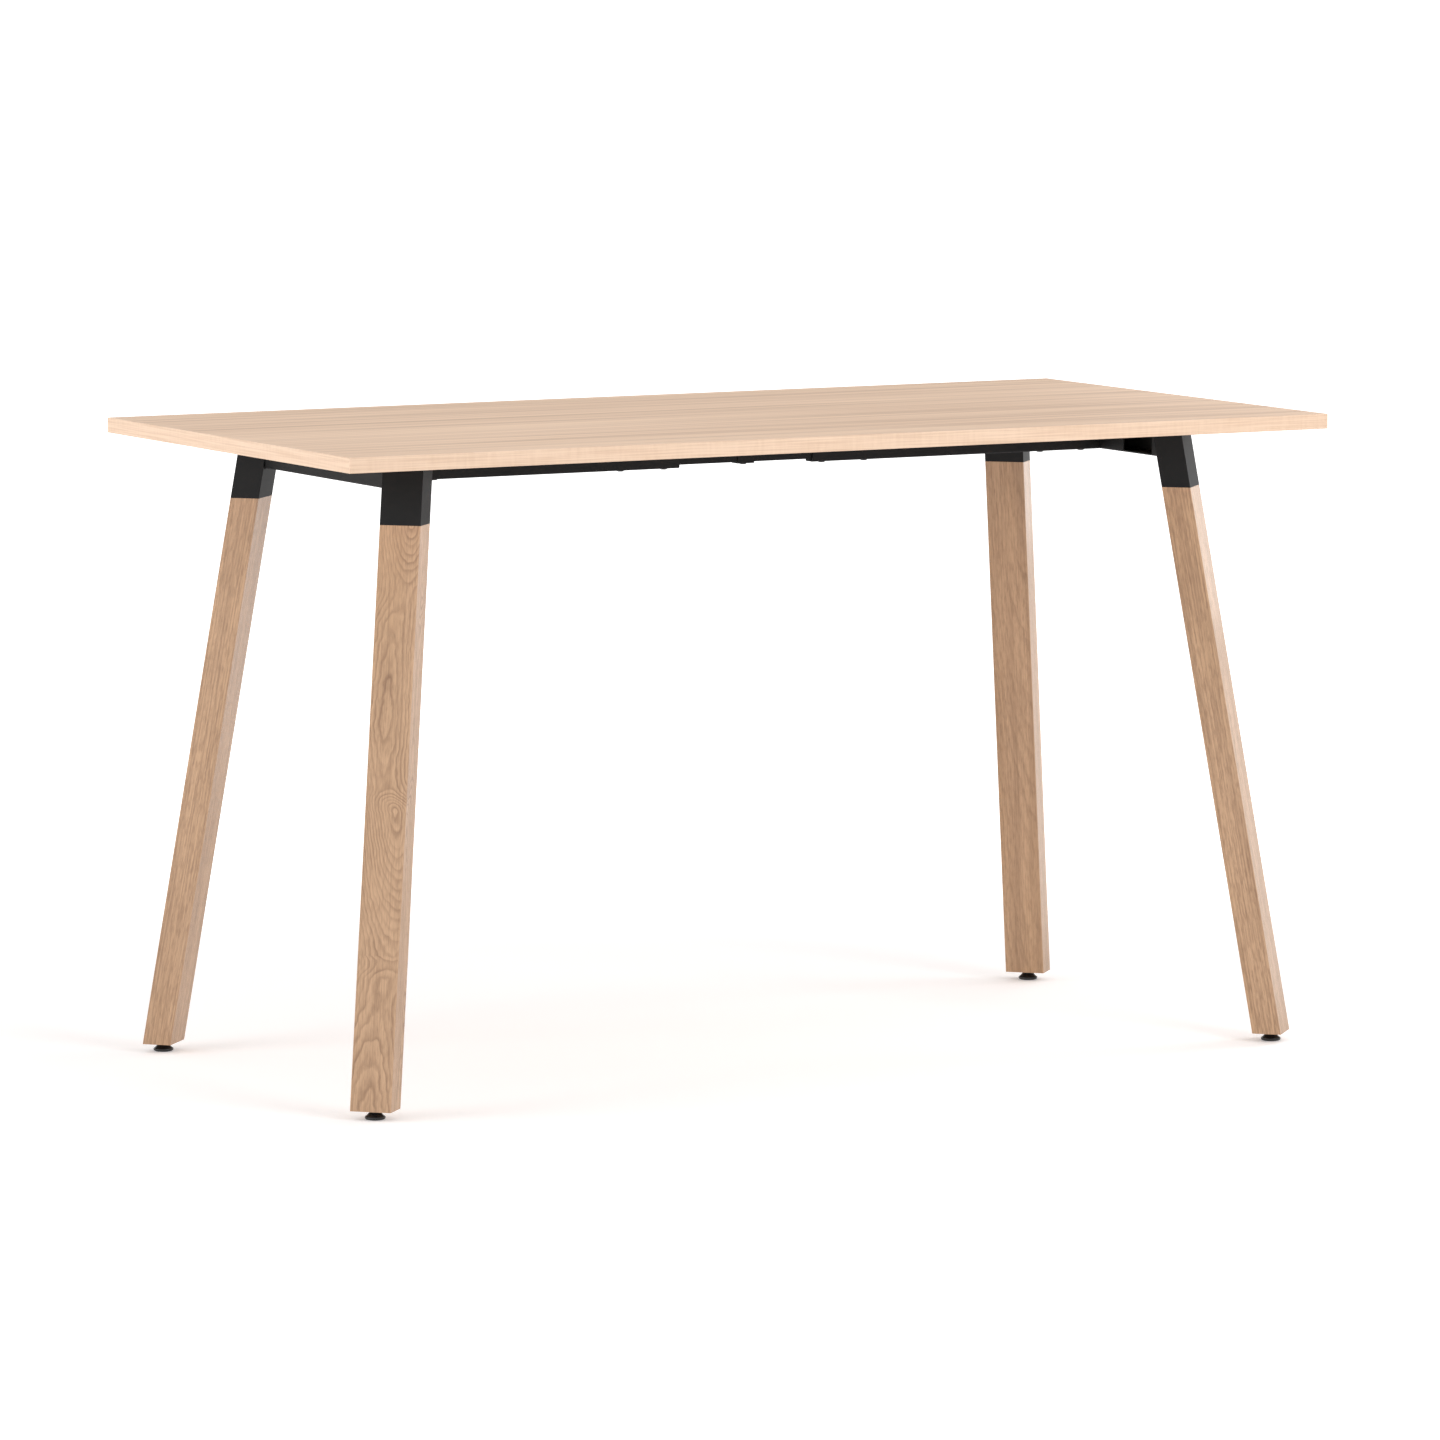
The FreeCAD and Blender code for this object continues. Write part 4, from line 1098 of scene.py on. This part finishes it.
@dataclass
class Studio:
    """The white floor, the soft lamps and the camera."""

    floor_size: float = 240.0
    floor_colour: Colour = (0.95, 0.93, 0.93)
    floor_glow: float = 0.225
    glow_starts: float = 1.1
    glow_full: float = 2.6
    sky: float = 0.6
    lamps: tuple[Lamp, ...] = (
        Lamp("key", (1.4, -5.0, 2.6), (0.2, 0.0, 0.8), (2.4, 2.4), 100),
        Lamp("left", (-4.6, 0.2, 1.6), (0.0, 0.0, 0.7), (2.4, 2.4), 62),
        Lamp("right", (1.9, -0.2, 1.12), (0.8, -0.25, 0.58), (0.8, 0.8), 2.25, spread=90, glints=False),
        Lamp("back_right", (1.9, 0.9, 1.1), (0.7, 0.2, 0.8), (1.2, 0.9), 4.2),
        Lamp("overhead", (-0.8, 0.1, 4.2), (-0.3, 0.0, 1.0), (3.2, 3.2), 15),
    )
    camera_place: Place = (-6.471253, -11.774388, 2.114751)
    camera_pitch: float = 90 - 6.66496
    camera_heading: float = -28.79777
    camera_lens: float = 204.31
    camera_sensor: float = 36
    camera_sight: float = 1000

    def build(self) -> None:
        """Sets the stage."""
        self.lay_floor()
        self.fill_sky()
        for lamp in self.lamps:
            lamp.hang()
        self.aim_camera()

    @staticmethod
    def seen_directly(graph: Graph) -> Socket:
        """Tells rays that see the studio from rays that light the table.

        Args:
            graph: the nodes of the floor or the world.

        Returns:
            1 for rays from the camera, or by way of a mirror or glass, and 0 for light.
        """
        path = graph.add("ShaderNodeLightPath").outputs
        seen = graph.calc("MAXIMUM", path["Is Camera Ray"], path["Is Glossy Ray"])
        return graph.calc("MAXIMUM", seen, path["Is Transmission Ray"])

    def lay_floor(self) -> None:
        """Lays a white floor that keeps the table's shadow and is open from below."""
        Bench.clear()
        bpy.ops.mesh.primitive_plane_add(size=self.floor_size)
        floor = bpy.context.object
        floor.name = "floor"
        graph = Graph.material("floor")
        matt = graph.add("ShaderNodeBsdfDiffuse", {"Color": (*self.floor_colour, 1)})
        away = graph.add("ShaderNodeVectorMath", {0: graph.place()}, operation="LENGTH").outputs["Value"]
        limits = {0: away, 1: self.glow_starts, 2: self.glow_full, 3: self.floor_glow, 4: 1.0}
        share = graph.add("ShaderNodeMapRange", limits, interpolation_type="SMOOTHSTEP").outputs[0]
        strength = graph.calc("MULTIPLY", self.seen_directly(graph), share)
        glow = graph.add("ShaderNodeEmission", {"Color": WHITE, "Strength": strength})
        top = graph.add("ShaderNodeAddShader", {0: matt.outputs[0], 1: glow.outputs[0]})
        clear = graph.add("ShaderNodeBsdfTransparent")
        below = graph.add("ShaderNodeNewGeometry").outputs["Backfacing"]
        both = graph.add("ShaderNodeMixShader", {0: below, 1: top.outputs[0], 2: clear.outputs[0]})
        graph.add("ShaderNodeOutputMaterial", {"Surface": both.outputs[0]})
        floor.data.materials.append(graph.owner)

    def fill_sky(self) -> None:
        """Sets a white surround, which lights the table at a lower level than it shows."""
        world = bpy.data.worlds.new("studio")
        bpy.context.scene.world = world
        graph = Graph(world)
        strength = graph.calc("MULTIPLY_ADD", self.seen_directly(graph), 1 - self.sky, self.sky)
        glow = graph.add("ShaderNodeBackground", {"Color": WHITE, "Strength": strength})
        graph.add("ShaderNodeOutputWorld", {"Surface": glow.outputs[0]})

    def aim_camera(self) -> None:
        """Sets the camera where the photograph was taken from."""
        camera = bpy.data.objects.new("camera", bpy.data.cameras.new("camera"))
        camera.data.lens = self.camera_lens
        camera.data.sensor_width = self.camera_sensor
        camera.data.clip_end = self.camera_sight
        camera.location = self.camera_place
        camera.rotation_euler = (math.radians(self.camera_pitch), 0, math.radians(self.camera_heading))
        bpy.context.scene.collection.objects.link(camera)
        bpy.context.scene.camera = camera
        bpy.context.scene.view_settings.view_transform = "Standard"


def main() -> None:
    """Builds the table's looks piece by piece, then the studio."""
    logging.basicConfig(level=logging.INFO, format="%(message)s")
    for assembly in (TableTop(), TimberLegs(), SteelFrame(), LevellingFeet(), Studio()):
        LOG.info("assembly %s", type(assembly).__name__)
        assembly.build()


if __name__ == "__main__":
    main()
